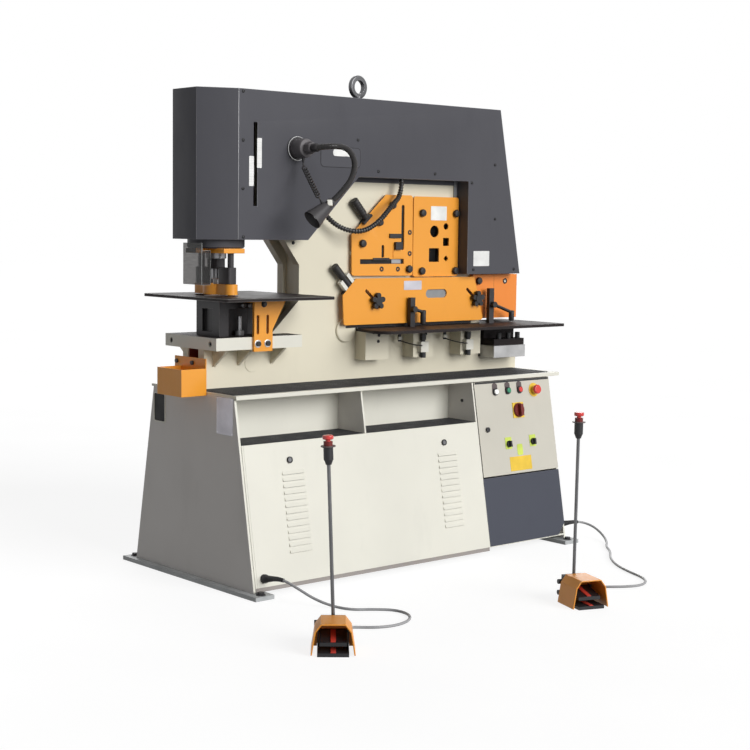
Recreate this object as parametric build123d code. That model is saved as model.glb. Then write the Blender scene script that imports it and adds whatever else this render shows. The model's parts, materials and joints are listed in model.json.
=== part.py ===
from build123d import *
import os
from math import atan2, cos, degrees, pi, sin, sqrt, tan

# Hydraulic ironworker: punching end, section shear, flat shear and notcher on one frame.
# Millimetres, +Z up, -Y is the operator's side, origin on the floor between the four anchor holes.

# Floor bars and base cabinet
FOOT_SPACING = 1656
FOOT_WIDTH = 84
FOOT_LENGTH = 906
FOOT_THICK = 16
ANCHOR_EDGE = 26
ANCHOR_HOLE_R = 9
BASE_LEFT = -840
BASE_RIGHT = 847
BASE_HALF_BOTTOM = 400
BASE_HALF_TOP = 271
BASE_TOP = 722
END_PLATE = 10
SHEET = 4
FLOOR_Z = 30
BAY_WALL = 378
BAY_WALL_THICK = 8
SHELF_Z = 549
SHELF_BACK_Y = -134
SHELF_DIVIDER_X = -228
DECK_THICK = 10
DECK_RIGHT = 905
DECK_OVERHANG = 14
MAT_THICK = 3
PANEL_THICK = 3
KICK_TOP = 313
DOOR_BOTTOM = 318
DOOR_TOP = 712
DOOR_GAP = 0.3
DOOR_THICK = 2.4

# Main frame: two plates with a gap for the shear beam
FRAME_MID_Y = 41.5
FRAME_GAP = 67
FRAME_PLATE = 38
FRAME_LEFT = -808
FRAME_RIGHT = 889
FRAME_TOP = 1830
THROAT_X = -354
HORN_TOP = 886
HORN_END = -575
HORN_UNDER = 1330
PIVOT_X = -113
PIVOT_Z = 936
PIVOT_R = 30
RUNNING_FIT = 0.06
CLEAR = 0.3

# Casing
CASE_FRONT = -105
CASE_BACK = 188
CASE_TOP = 1868
CASE_BOTTOM = 1302
CASE_SHEET = 3
CASE_KNEE = -367
CASE_RIGHT_LOW = 828
CASE_RIGHT_TOP = 689
CASE_SEAT_Z = 1716
CASE_SEAT_TALL = 40
NOSE_JOIN = -705
NOSE_END = -850
NOSE_HALF = 80
WINDOW_LEFT = -112
WINDOW_TOP = 1556
LEG_LEFT = 503
LEG_BOTTOM = 1160
EYE_R = 48
EYE_HOLE_R = 28
EYE_YAW = 5

# Punching station
PUNCH_X = -704
RAM_R = 40
RAM_BOTTOM = 1228
RAM_TOP = 1472
PUNCH_R = 11
PUNCH_TIP = 1100
NUT_R = 38
NUT_TALL = 38
TABLE_TOP = 1088
TABLE_THICK = 12
TABLE_LEFT = -875
TABLE_FRONT = -272
TABLE_BACK = 292
PLATE_LEFT = -822
PLATE_RIGHT = -415
PLATE_FRONT = -131
PLATE_BACK = 214
PLATE_TOP = 934
BOLSTER_LEFT = -760
BOLSTER_RIGHT = -600
BOLSTER_FRONT = -62
BOLSTER_BACK = 92
BOLSTER_TOP = 1070
DIE_R = 45
DIE_SEAT = 18
STRIPPER_Z = 1092
STRIPPER_HALF = 27
STRIPPER_TALL = 40
STRIPPER_EYE_R = 42
POST_R = 12
POST_Y = 97
BRACKET_Z = 1250
CYLINDER_R = 110
CYLINDER_END = 1268
CYLINDER_TOP = 1790
CLEAR_SIDE = 112
CLEAR_SHEET = 4

# Shears and notcher
FLAT_TOP = 943
FLAT_THICK = 12
FLAT_LEFT = -106
FLAT_RIGHT = 955
FLAT_FRONT = -270
FLAT_BACK = 140
BEAM_CLEAR = 4
SHEAR_X = 620
SHEAR_ROD_R = 30
BEAM_BOSS_R = 25
BEAM_BOSS_Z = 1180
SHOULDER_Z = 1290
GUARD_BACK = -44
GUARD_THICK = 6
FLAT_GUARD_BACK = -60
STUD_R = 6
NOTCH_SEAT = 792
NOTCH_LEFT = 661
NOTCH_RIGHT = 857

# Foot pedals
PEDAL_HALF = 72
PEDAL_HEIGHT = 104
PEDAL_DEPTH = 120
STALK_R = 6
CABLE_R = 5
LAMP_X = -428
LAMP_Z = 1655
HOSE_R = 9

YF = FRAME_MID_Y - FRAME_GAP / 2 - FRAME_PLATE
YR = FRAME_MID_Y + FRAME_GAP / 2 + FRAME_PLATE
GAP_F = FRAME_MID_Y - FRAME_GAP / 2
GAP_R = FRAME_MID_Y + FRAME_GAP / 2
ANCHOR_SPACING = FOOT_LENGTH - 2 * ANCHOR_EDGE
DECK_HALF = BASE_HALF_TOP + DECK_OVERHANG
DECK_TOP = BASE_TOP + DECK_THICK
SLOPE = atan2(BASE_HALF_BOTTOM - BASE_HALF_TOP, BASE_TOP - FOOT_THICK)
FRONT = Plane(
    origin=(0, -BASE_HALF_BOTTOM, FOOT_THICK),
    x_dir=(1, 0, 0),
    z_dir=(0, -cos(SLOPE), sin(SLOPE)),
).location
LOW = (Align.CENTER, Align.CENTER, Align.MIN)


def half(z):
    return BASE_HALF_BOTTOM - (z - FOOT_THICK) * tan(SLOPE)


def block(x0, x1, y0, y1, z0, z1):
    return Pos((x0 + x1) / 2, (y0 + y1) / 2, (z0 + z1) / 2) * Box(x1 - x0, y1 - y0, z1 - z0)


def profile_xz(points, y0, y1):
    side = Plane(origin=(0, y1, 0), x_dir=(1, 0, 0), z_dir=(0, -1, 0))
    return extrude(side * Polygon(*points, align=None), amount=y1 - y0, dir=(0, -1, 0))


def profile_yz(points, x0, x1):
    side = Plane(origin=(x0, 0, 0), x_dir=(0, 1, 0), z_dir=(1, 0, 0))
    return extrude(side * Polygon(*points, align=None), amount=x1 - x0, dir=(1, 0, 0))


def profile_xy(points, z0, z1):
    return extrude(Pos(0, 0, z0) * Polygon(*points, align=None), amount=z1 - z0, dir=(0, 0, 1))


def rod(start, end, radius):
    span = Vector(*end) - Vector(*start)
    return Plane(origin=start, z_dir=span).location * Cylinder(radius, span.length, align=LOW)


def cone(start, end, r0, r1):
    span = Vector(*end) - Vector(*start)
    return Plane(origin=start, z_dir=span).location * Cone(r0, r1, span.length, align=LOW)


def upright(x, y, z0, z1, radius):
    return Pos(x, y, z0) * Cylinder(radius, z1 - z0, align=LOW)


def across(x, z, y0, y1, radius):
    return rod((x, y1, z), (x, y0, z), radius)


def slot_xz(x0, z0, x1, z1, radius, y0, y1):
    path = SlotCenterToCenter(sqrt((x1 - x0) ** 2 + (z1 - z0) ** 2), 2 * radius)
    middle = ((x0 + x1) / 2, y1, (z0 + z1) / 2)
    side = Plane(origin=middle, x_dir=(x1 - x0, 0, z1 - z0), z_dir=(0, -1, 0))
    return extrude(side * path, amount=y1 - y0, dir=(0, -1, 0))


def rounded(plate, radius):
    return fillet(plate.edges().filter_by(Axis.Y), radius)


def on_front(x, z, depth=0):
    return FRONT * Pos(x, (z - FOOT_THICK) / cos(SLOPE), depth)


def front_plate(points, depth, thick):
    flat = [(x, (z - FOOT_THICK) / cos(SLOPE)) for x, z in points]
    return FRONT * Pos(0, 0, depth) * extrude(Polygon(*flat, align=None), amount=thick, dir=(0, 0, 1))


def rectangle(x0, x1, z0, z1):
    return [(x0, z0), (x1, z0), (x1, z1), (x0, z1)]


def save(name, *solids):
    parts = []
    for solid in solids:
        parts.extend(solid.solids())
    shape = parts[0] if len(parts) == 1 else Compound(children=parts)
    export_step(shape, f"parts/{name}.step")


os.makedirs("parts", exist_ok=True)

# Floor bars with the anchor holes
bars = []
for side in (-1, 1):
    middle = side * FOOT_SPACING / 2
    bar = Pos(middle, 0, 0) * Box(FOOT_WIDTH, FOOT_LENGTH, FOOT_THICK, align=LOW)
    for end in (-1, 1):
        bar -= upright(middle, end * ANCHOR_SPACING / 2, -1, FOOT_THICK + 1, ANCHOR_HOLE_R)
    bars.append(bar)
save("foot_bars", *bars)

# Base cabinet of welded plates, with the open shelf along its front
inner_left = BASE_LEFT + END_PLATE
inner_right = BASE_RIGHT - END_PLATE
back_sheet = SHEET / cos(SLOPE)
end_shape = [
    (-BASE_HALF_BOTTOM, FOOT_THICK),
    (BASE_HALF_BOTTOM, FOOT_THICK),
    (BASE_HALF_TOP, BASE_TOP),
    (-BASE_HALF_TOP, BASE_TOP),
]
floor_top = FLOOR_Z + 6
end_left = profile_yz(end_shape, BASE_LEFT, inner_left)
end_right = profile_yz(end_shape, inner_right, BASE_RIGHT)
back_wall = profile_yz(
    [
        (half(FLOOR_Z) - back_sheet, FLOOR_Z),
        (half(FLOOR_Z), FLOOR_Z),
        (half(BASE_TOP), BASE_TOP),
        (half(BASE_TOP) - back_sheet, BASE_TOP),
    ],
    inner_left,
    inner_right,
)
floor_plate = profile_yz(
    [
        (-half(FLOOR_Z), FLOOR_Z),
        (half(FLOOR_Z) - back_sheet, FLOOR_Z),
        (half(floor_top) - back_sheet, floor_top),
        (-half(floor_top), floor_top),
    ],
    inner_left,
    inner_right,
)
bay_wall = profile_yz(
    [
        (-half(floor_top), floor_top),
        (half(floor_top) - back_sheet, floor_top),
        (half(BASE_TOP) - back_sheet, BASE_TOP),
        (-half(BASE_TOP), BASE_TOP),
    ],
    BAY_WALL,
    BAY_WALL + BAY_WALL_THICK,
)
shelf_under = SHELF_Z - SHEET
shelf_floor = profile_yz(
    [
        (-half(shelf_under), shelf_under),
        (SHELF_BACK_Y + SHEET, shelf_under),
        (SHELF_BACK_Y + SHEET, SHELF_Z),
        (-half(SHELF_Z), SHELF_Z),
    ],
    inner_left,
    BAY_WALL,
)
shelf_back = block(inner_left, BAY_WALL, SHELF_BACK_Y, SHELF_BACK_Y + SHEET, SHELF_Z, BASE_TOP)
shelf_divider = profile_yz(
    [
        (-half(SHELF_Z), SHELF_Z),
        (SHELF_BACK_Y, SHELF_Z),
        (SHELF_BACK_Y, BASE_TOP),
        (-half(BASE_TOP), BASE_TOP),
    ],
    SHELF_DIVIDER_X - SHEET,
    SHELF_DIVIDER_X + SHEET,
)
save(
    "base_cabinet",
    end_left,
    end_right,
    back_wall,
    floor_plate,
    bay_wall,
    shelf_floor,
    shelf_back,
    shelf_divider,
)

deck = block(BASE_LEFT, DECK_RIGHT, -DECK_HALF, DECK_HALF, BASE_TOP, DECK_TOP)
deck += block(BASE_LEFT, DECK_RIGHT, -DECK_HALF, -DECK_HALF + SHEET, BASE_TOP - 6, BASE_TOP)
save("base_deck", deck)

deck_mat = block(BASE_LEFT + 6, BASE_RIGHT + 9, -DECK_HALF + 22, YF - 2, DECK_TOP, DECK_TOP + MAT_THICK)
MAT_EDGE = 4
mat_front = -half(SHELF_Z) + 6
mat_back = SHELF_BACK_Y - MAT_EDGE
shelf_mats = []
for x0, x1 in ((inner_left, SHELF_DIVIDER_X - SHEET), (SHELF_DIVIDER_X + SHEET, BAY_WALL)):
    mat = block(x0 + MAT_EDGE, x1 - MAT_EDGE, mat_front, mat_back, SHELF_Z, SHELF_Z + MAT_THICK)
    shelf_mats.append(mat)
save("rubber_mats", deck_mat, *shelf_mats)

# Lift-off front panel with pressed louvres and two quarter-turn locks
LOUVRES = 13
LOUVRE_PITCH = 24
LOUVRE_WIDTH = 104
LOUVRE_RISE = 6
panel_shape = rectangle(BASE_LEFT + 18, BAY_WALL + 3, FLOOR_Z + 3, SHELF_Z - 2)
front_panel = front_plate(panel_shape, 0, PANEL_THICK)
hoods = []
holes = []
for column in (-606, 192):
    for row in range(LOUVRES):
        place = on_front(column, 147 + row * LOUVRE_PITCH, PANEL_THICK)
        side = Plane(origin=(-LOUVRE_WIDTH / 2, 0, 0), x_dir=(0, 1, 0), z_dir=(1, 0, 0))
        hood = Polygon((-7, 0), (7, 0), (-7, LOUVRE_RISE), align=None)
        hollow = Polygon((-8, -9), (3, -9), (3, 0), (-8, LOUVRE_RISE - 1), align=None)
        hoods.append(place * extrude(side * hood, amount=LOUVRE_WIDTH, dir=(1, 0, 0)))
        inner = extrude(side * hollow, amount=LOUVRE_WIDTH - 3, dir=(1, 0, 0))
        holes.append(place * Pos(1.5, 0, 0) * inner)
    hoods.append(on_front(column - 12, 481, PANEL_THICK) * Cylinder(12, 5, align=LOW))
front_panel = front_panel + hoods
front_panel = front_panel - holes
save("front_panel", front_panel)

kick_shape = [
    (BAY_WALL + 5, FLOOR_Z + 4),
    (BASE_RIGHT - 46, FLOOR_Z + 4),
    (BASE_RIGHT - 1, FLOOR_Z + 50),
    (BASE_RIGHT - 1, KICK_TOP),
    (BAY_WALL + 5, KICK_TOP),
]
save("kick_panel", front_plate(kick_shape, 0, PANEL_THICK))

# Control door with its fittings and operators, hinged along its right edge
DOOR_FACE = DOOR_GAP + DOOR_THICK
DOOR_LEFT = BAY_WALL + BAY_WALL_THICK + 2
door = front_plate(rectangle(DOOR_LEFT, BASE_RIGHT - 1, DOOR_BOTTOM, DOOR_TOP), DOOR_GAP, DOOR_THICK)
save("control_door", door)

LAMP_AT = (507, 666)
START_AT = (583, 668)
STOP_AT = (655, 668)
ESTOP_AT = (743, 662)
SWITCH_AT = (634, 582)
LOCK_AT = (438, 512)
SELECT_LEFT_AT = (554, 444)
SELECT_RIGHT_AT = (702, 444)
BEZEL_R = 15
BUTTON_R = 11
COLLAR_R = 14
STEM_R = 8


def on_door(at, depth=0):
    return on_front(at[0], at[1], DOOR_FACE + depth)


bezel = Cylinder(BEZEL_R, 8, align=LOW)
fittings = []
for at in (START_AT, STOP_AT):
    fittings.append(on_door(at) * (bezel - Cylinder(BUTTON_R + CLEAR, 8, align=LOW)))
fittings.append(on_door(LAMP_AT) * (bezel + Cylinder(BUTTON_R, 13, align=LOW)))
for at in (LAMP_AT, START_AT, STOP_AT):
    fittings.append(on_door(at) * Pos(0, 24, 0) * Box(30, 14, 1.5, align=LOW))
estop_seat = Cylinder(30, 2, align=LOW) + Cylinder(COLLAR_R, 12, align=LOW)
estop_seat -= Pos(0, 0, 1) * Cylinder(STEM_R + CLEAR, 12, align=LOW)
fittings.append(on_door(ESTOP_AT) * estop_seat)
fittings.append(on_door(SWITCH_AT) * Box(66, 66, 3, align=LOW))
for at in (SELECT_LEFT_AT, SELECT_RIGHT_AT):
    fittings.append(on_door(at) * Pos(0, 4, 0) * Box(38, 50, 2, align=LOW))
fittings.append(on_door(LOCK_AT) * Cylinder(11, 7, align=LOW))
save("panel_fittings", *fittings)

for name, at in (("start_button", START_AT), ("stop_button", STOP_AT)):
    cap = Cylinder(BUTTON_R, 7, align=LOW)
    cap = chamfer(cap.edges().group_by(Axis.Z)[-1], 1)
    save(name, on_door(at, 5) * cap)
MUSHROOM_R = 20
mushroom = Pos(0, 0, 17) * Cylinder(MUSHROOM_R, 13, align=LOW)
mushroom = fillet(mushroom.edges().group_by(Axis.Z)[-1], 5)
save("panel_estop", on_door(ESTOP_AT) * (mushroom + Pos(0, 0, 6) * Cylinder(STEM_R, 12, align=LOW)))
handle = Cylinder(25, 9, align=LOW) + Pos(0, 0, 9) * Box(16, 50, 15, align=LOW)
save("main_switch", on_door(SWITCH_AT, 3 + CLEAR) * handle)
for name, at in (("selector_left", SELECT_LEFT_AT), ("selector_right", SELECT_RIGHT_AT)):
    knob = Cylinder(14, 8, align=LOW) + Pos(0, 0, 8) * Box(8, 26, 10, align=LOW)
    save(name, on_door(at, 2 + CLEAR) * knob)

# Electrical gear inside the bay, hydraulic unit inside the cabinet
gear = block(440, 800, 20, 24, floor_top, 640)
for z0, deep in ((150, 70), (300, 60), (450, 85)):
    gear += block(455, 785, 14, 20, z0 + 30, z0 + 65)
    for column in range(4):
        x0 = 465 + column * 80
        gear += block(x0, x0 + 62, 14 - deep, 14, z0, z0 + 95)
save("control_gear", gear)

TANK_TOP = 330
tank = block(-780, 120, -140, 320, floor_top, TANK_TOP)
tank += upright(-700, 220, TANK_TOP, TANK_TOP + 40, 34)
motor = rod((-470, 90, 440), (-150, 90, 440), 96)
motor += rod((-540, 90, 440), (-470, 90, 440), 62)
motor += block(-420, -200, 20, 160, TANK_TOP, 380)
valves = block(-60, 90, 20, 170, TANK_TOP, 450)
for y in (55, 135):
    valves += rod((-110, y, 415), (140, y, 415), 24)
save("hydraulic_unit", tank, motor, valves)

# Frame plates: C-shaped throat on the left, windows for the section and flat shears
outline = [
    (FRAME_LEFT, DECK_TOP),
    (FRAME_RIGHT, DECK_TOP),
    (FRAME_RIGHT, NOTCH_SEAT),
    (NOTCH_LEFT - 6, NOTCH_SEAT),
    (NOTCH_LEFT - 6, LEG_BOTTOM - 10),
    (700, LEG_BOTTOM + 30),
    (700, SHOULDER_Z),
    (540, SHOULDER_Z),
    (540, FRAME_TOP),
    (HORN_END, FRAME_TOP),
    (HORN_END, HORN_UNDER),
    (THROAT_X - 96, HORN_UNDER),
    (THROAT_X, HORN_UNDER - 127),
    (THROAT_X, 1062),
    (THROAT_X - 133, PLATE_TOP + 2),
    (THROAT_X - 133, HORN_TOP),
    (FRAME_LEFT, HORN_TOP),
]
WINDOW = (-70, 490, 1190, 1465)
SLOT_LEFT = -60
SLOT_RIGHT = 560
SLOT_TOP = 1012
BLADE_DEPTH = 48
BLADE_BACK = GAP_F + BEAM_CLEAR - CLEAR
BLADE_FRONT = YF + 18
GUARD_FRONT = GUARD_BACK - GUARD_THICK
FLAT_GUARD_FRONT = FLAT_GUARD_BACK - GUARD_THICK
ANGLE_KNOBS = ((116, 1448), (46, 1377), (-45, 1289), (212, 1183))
BAR_KNOBS = ((285, 1418), (480, 1419), (285, 1174), (480, 1174))
NOTCH_KNOB = (624, 1128)
ANGLE_STANDOFFS = ((-85, 1250), (100, 1172), (150, 1478))
BAR_STANDOFFS = ((300, 1170), (460, 1170), (300, 1476), (460, 1476))
CASE_SEATS = (-480, 20, 420)
STARS = ((20, 1053), (596, 1051))
STAR_BOSS_R = 14
STUD_BACK = YF - 4

plate_f = profile_xz(outline, YF, GAP_F)
plate_f -= block(*WINDOW[:2], YF - 1, GAP_F + 1, *WINDOW[2:])
plate_f -= block(SLOT_LEFT, SLOT_RIGHT, YF - 1, GAP_F + 1, FLAT_TOP, SLOT_TOP)
plate_f -= block(SLOT_LEFT, SLOT_RIGHT, BLADE_FRONT, GAP_F + 1, FLAT_TOP - BLADE_DEPTH, FLAT_TOP)
plate_f -= across(PIVOT_X, PIVOT_Z, YF - 1, GAP_F + 1, PIVOT_R)
for x, z in ANGLE_STANDOFFS + BAR_STANDOFFS:
    plate_f += across(x, z, GUARD_BACK, YF, 9)
case_seat_top = CASE_SEAT_Z + CASE_SEAT_TALL
for x in CASE_SEATS:
    plate_f += block(x - 20, x + 20, CASE_FRONT + CASE_SHEET, YF, CASE_SEAT_Z, case_seat_top)
for x, z in STARS:
    plate_f += across(x, z, FLAT_GUARD_BACK + CLEAR, YF, STAR_BOSS_R)
    plate_f -= across(x, z, FLAT_GUARD_BACK - 1, YF - 2, STUD_R + CLEAR)
HANG_Z = 836
HANG_R = 8
HANG_END = BASE_LEFT - 14
HANG_FRONT = YF + FRAME_PLATE / 2
HANG_BACK = YR - FRAME_PLATE / 2
plate_f += rod((FRAME_LEFT + 1, HANG_FRONT, HANG_Z), (HANG_END, HANG_FRONT, HANG_Z), HANG_R)
save("frame_front_plate", plate_f)

plate_r = profile_xz(outline, GAP_R, YR)
plate_r -= block(*WINDOW[:2], GAP_R - 1, YR + 1, *WINDOW[2:])
plate_r -= block(SLOT_LEFT, SLOT_RIGHT, GAP_R - 1, YR + 1, FLAT_TOP, SLOT_TOP)
plate_r -= across(PIVOT_X, PIVOT_Z, GAP_R - 1, YR + 1, PIVOT_R)
for x in CASE_SEATS:
    plate_r += block(x - 20, x + 20, YR, CASE_BACK - CASE_SHEET, CASE_SEAT_Z, case_seat_top)
chute = [
    (FRAME_LEFT, DECK_TOP + 8),
    (FRAME_RIGHT - 19, DECK_TOP + 8),
    (FRAME_RIGHT - 19, NOTCH_SEAT - 8),
    (-560, NOTCH_SEAT - 8),
    (-560, HORN_TOP - 10),
    (FRAME_LEFT, 800),
]
plate_r += profile_xz(chute, GAP_F, GAP_R)
plate_r += block(THROAT_X + 14, THROAT_X + 104, GAP_F, GAP_R, 830, 1290)
plate_r += block(HORN_END + 5, 500, GAP_F, GAP_R, FRAME_TOP - 90, FRAME_TOP - 10)
plate_r += rod((FRAME_LEFT + 1, HANG_BACK, HANG_Z), (HANG_END, HANG_BACK, HANG_Z), HANG_R)
save("frame_rear_plate", plate_r)

pin = across(PIVOT_X, PIVOT_Z, YF, YR, PIVOT_R)
cap = across(PIVOT_X, PIVOT_Z, YF - 9, YF, 50)
pin += chamfer(cap.edges().group_by(Axis.Y)[0], 3)
save("pivot_pin", pin)

# Casing over the frame, open below, with a separate faceted nose
case_shape = [
    (NOSE_JOIN, CASE_BOTTOM),
    (CASE_KNEE, CASE_BOTTOM),
    (WINDOW_LEFT, WINDOW_TOP),
    (LEG_LEFT, WINDOW_TOP),
    (LEG_LEFT, LEG_BOTTOM),
    (CASE_RIGHT_LOW, LEG_BOTTOM),
    (CASE_RIGHT_TOP, CASE_TOP),
    (NOSE_JOIN, CASE_TOP),
]
cavity = [
    (NOSE_JOIN - 5, CASE_BOTTOM + CASE_SHEET),
    (CASE_KNEE - 0.4 * CASE_SHEET, CASE_BOTTOM + CASE_SHEET),
    (WINDOW_LEFT - 0.4 * CASE_SHEET, WINDOW_TOP + CASE_SHEET),
    (LEG_LEFT + CASE_SHEET, WINDOW_TOP + CASE_SHEET),
    (LEG_LEFT + CASE_SHEET, LEG_BOTTOM + CASE_SHEET),
    (CASE_RIGHT_LOW - 1.2 * CASE_SHEET, LEG_BOTTOM + CASE_SHEET),
    (CASE_RIGHT_TOP - 0.8 * CASE_SHEET, CASE_TOP - CASE_SHEET),
    (NOSE_JOIN - 5, CASE_TOP - CASE_SHEET),
]
opening = [
    (NOSE_JOIN - 5, CASE_BOTTOM - 9),
    (CASE_KNEE + 3, CASE_BOTTOM - 9),
    (WINDOW_LEFT + 4, WINDOW_TOP - 4),
    (LEG_LEFT - 4, WINDOW_TOP - 4),
    (LEG_LEFT - 4, LEG_BOTTOM - 9),
    (CASE_RIGHT_LOW - 6, LEG_BOTTOM - 9),
    (CASE_RIGHT_LOW - 38, LEG_BOTTOM + 120),
    (600, 1700),
    (NOSE_JOIN - 5, 1700),
]
casing = profile_xz(case_shape, CASE_FRONT, CASE_BACK)
casing -= profile_xz(cavity, CASE_FRONT + CASE_SHEET, CASE_BACK - CASE_SHEET)
casing -= profile_xz(opening, YF - 4, YR + 4)
casing -= block(-635, -617, CASE_FRONT - 1, CASE_FRONT + CASE_SHEET + 1, 1430, 1746)
casing -= upright(0, FRAME_MID_Y, CASE_TOP - 10, CASE_TOP + 1, 18)
casing -= upright(PUNCH_X, FRAME_MID_Y, CASE_BOTTOM - 9, CASE_BOTTOM + 9, CYLINDER_R + 6)
nose_plan = [
    (NOSE_JOIN, CASE_FRONT),
    (NOSE_JOIN, CASE_BACK),
    (NOSE_END, FRAME_MID_Y + NOSE_HALF),
    (NOSE_END, FRAME_MID_Y - NOSE_HALF),
]
nose_hollow = [
    (NOSE_JOIN + 1, CASE_FRONT + 1.1 * CASE_SHEET),
    (NOSE_JOIN + 1, CASE_BACK - 1.1 * CASE_SHEET),
    (NOSE_END + CASE_SHEET, FRAME_MID_Y + NOSE_HALF - 0.7 * CASE_SHEET),
    (NOSE_END + CASE_SHEET, FRAME_MID_Y - NOSE_HALF + 0.7 * CASE_SHEET),
]
nose = profile_xy(nose_plan, CASE_BOTTOM, CASE_TOP)
nose -= profile_xy(nose_hollow, CASE_BOTTOM - 1, CASE_TOP - CASE_SHEET)
save("top_casing", casing, nose)

ring = Cylinder(EYE_R, 20)
ring = fillet(ring.edges().filter_by(GeomType.CIRCLE), 7) - Cylinder(EYE_HOLE_R, 20)
ring = Pos(0, FRAME_MID_Y, CASE_TOP + 9 + EYE_R + 2) * Rot(0, 0, EYE_YAW) * Rot(90, 0, 0) * ring
eye = upright(0, FRAME_MID_Y, FRAME_TOP - 10, CASE_TOP, 15)
eye += upright(0, FRAME_MID_Y, CASE_TOP, CASE_TOP + 9, 27)
eye += upright(0, FRAME_MID_Y, CASE_TOP + 9, CASE_TOP + 22, 15)
save("eyebolt", eye + ring)

# Punch cylinder, ram with punch, stripper
cylinder = upright(PUNCH_X, FRAME_MID_Y, CYLINDER_END, HORN_UNDER, CYLINDER_R)
cylinder = chamfer(cylinder.edges().group_by(Axis.Z)[0], 6)
cylinder += upright(PUNCH_X, FRAME_MID_Y, HORN_UNDER, CYLINDER_TOP, CYLINDER_R - 15)
cylinder += block(PUNCH_X, HORN_END, YF, YR, HORN_UNDER + 12, CYLINDER_TOP - 10)
cylinder -= upright(PUNCH_X, FRAME_MID_Y, CYLINDER_END - 1, RAM_TOP + 10, RAM_R + RUNNING_FIT)
save("punch_cylinder", cylinder)

nut_bottom = RAM_BOTTOM - NUT_TALL
shank_bottom = nut_bottom - 40
ram = upright(PUNCH_X, FRAME_MID_Y, RAM_BOTTOM, RAM_TOP, RAM_R)
nut = Pos(PUNCH_X, FRAME_MID_Y, nut_bottom) * extrude(RegularPolygon(NUT_R, 6), amount=NUT_TALL)
punch = upright(PUNCH_X, FRAME_MID_Y, shank_bottom, nut_bottom, 18)
punch += upright(PUNCH_X, FRAME_MID_Y, PUNCH_TIP, shank_bottom, PUNCH_R)
save("punch_ram", ram, nut, punch)

bracket_plan = [
    (-48, -122),
    (48, -122),
    (60, -70),
    (60, 70),
    (48, 122),
    (-48, 122),
    (-60, 70),
    (-60, -70),
]
guard_side = PUNCH_X - CLEAR_SIDE
wing_front = FRAME_MID_Y - 31.5
wing_back = FRAME_MID_Y + 38.5
bracket = Pos(PUNCH_X, FRAME_MID_Y, 0) * profile_xy(bracket_plan, BRACKET_Z, CYLINDER_END)
bracket += block(guard_side, PUNCH_X - 48, wing_front, wing_back, BRACKET_Z, CYLINDER_END)
bracket -= upright(PUNCH_X, FRAME_MID_Y, BRACKET_Z - 1, CYLINDER_END + 1, RAM_R + 2)
for side in (-1, 1):
    post_y = FRAME_MID_Y + side * POST_Y
    bracket += upright(PUNCH_X, post_y, STRIPPER_Z + 48, BRACKET_Z, POST_R)
save("stripper_bracket", bracket)

foot_top = STRIPPER_Z + STRIPPER_TALL
sleeve_top = STRIPPER_Z + 98
bar = SlotCenterToCenter(2 * POST_Y, 2 * STRIPPER_HALF, rotation=90)
foot = extrude(Pos(PUNCH_X, FRAME_MID_Y, STRIPPER_Z) * bar, amount=STRIPPER_TALL, dir=(0, 0, 1))
foot += upright(PUNCH_X, FRAME_MID_Y, STRIPPER_Z, foot_top, STRIPPER_EYE_R + 8)
for side in (-1, 1):
    post_y = FRAME_MID_Y + side * POST_Y
    foot += upright(PUNCH_X, post_y, foot_top, sleeve_top, POST_R + 6)
    foot -= upright(PUNCH_X, post_y, STRIPPER_Z + 4, sleeve_top + 1, POST_R + CLEAR)
foot -= upright(PUNCH_X, FRAME_MID_Y, STRIPPER_Z - 1, foot_top + 1, STRIPPER_EYE_R)
save("stripper_foot", foot)

guard_low = STRIPPER_Z + 38
guard_front = FRAME_MID_Y - 72.5
guard_back = FRAME_MID_Y + 52.5
return_end = guard_side + 37
return_top = CYLINDER_END - 8
clear = block(guard_side - CLEAR_SHEET, guard_side, guard_front, guard_back, guard_low, CYLINDER_END + 20)
clear += block(guard_side, return_end, guard_front, guard_front + CLEAR_SHEET, guard_low, return_top)
save("clear_guard", clear)

# Punch base plate with gussets, bolster, table and slug box
plate_step = THROAT_X - 133
end_hole_z = (HORN_TOP + PLATE_TOP) / 2
base_plate = block(PLATE_LEFT, plate_step, PLATE_FRONT, PLATE_BACK, HORN_TOP, PLATE_TOP)
base_plate += block(plate_step, PLATE_RIGHT, PLATE_FRONT, YF, HORN_TOP, PLATE_TOP)
base_plate += block(plate_step, PLATE_RIGHT, YR, PLATE_BACK, HORN_TOP, PLATE_TOP)
base_plate -= upright(PUNCH_X, FRAME_MID_Y, HORN_TOP - 1, PLATE_TOP + 1, 28)
for y in (FRAME_MID_Y - 132, FRAME_MID_Y + 132):
    base_plate -= rod((PLATE_LEFT - 1, y, end_hole_z), (PLATE_LEFT + 32, y, end_hole_z), 10)
gusset_front = [(YF, HORN_TOP), (YF, HORN_TOP - 70), (PLATE_FRONT + 9, HORN_TOP)]
gusset_back = [(YR, HORN_TOP), (PLATE_BACK - 9, HORN_TOP), (YR, HORN_TOP - 70)]
for x in (-762, -648, -488):
    base_plate += profile_yz(gusset_front, x - 6, x + 6)
    base_plate += profile_yz(gusset_back, x - 6, x + 6)
save("punch_base", base_plate)

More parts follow.
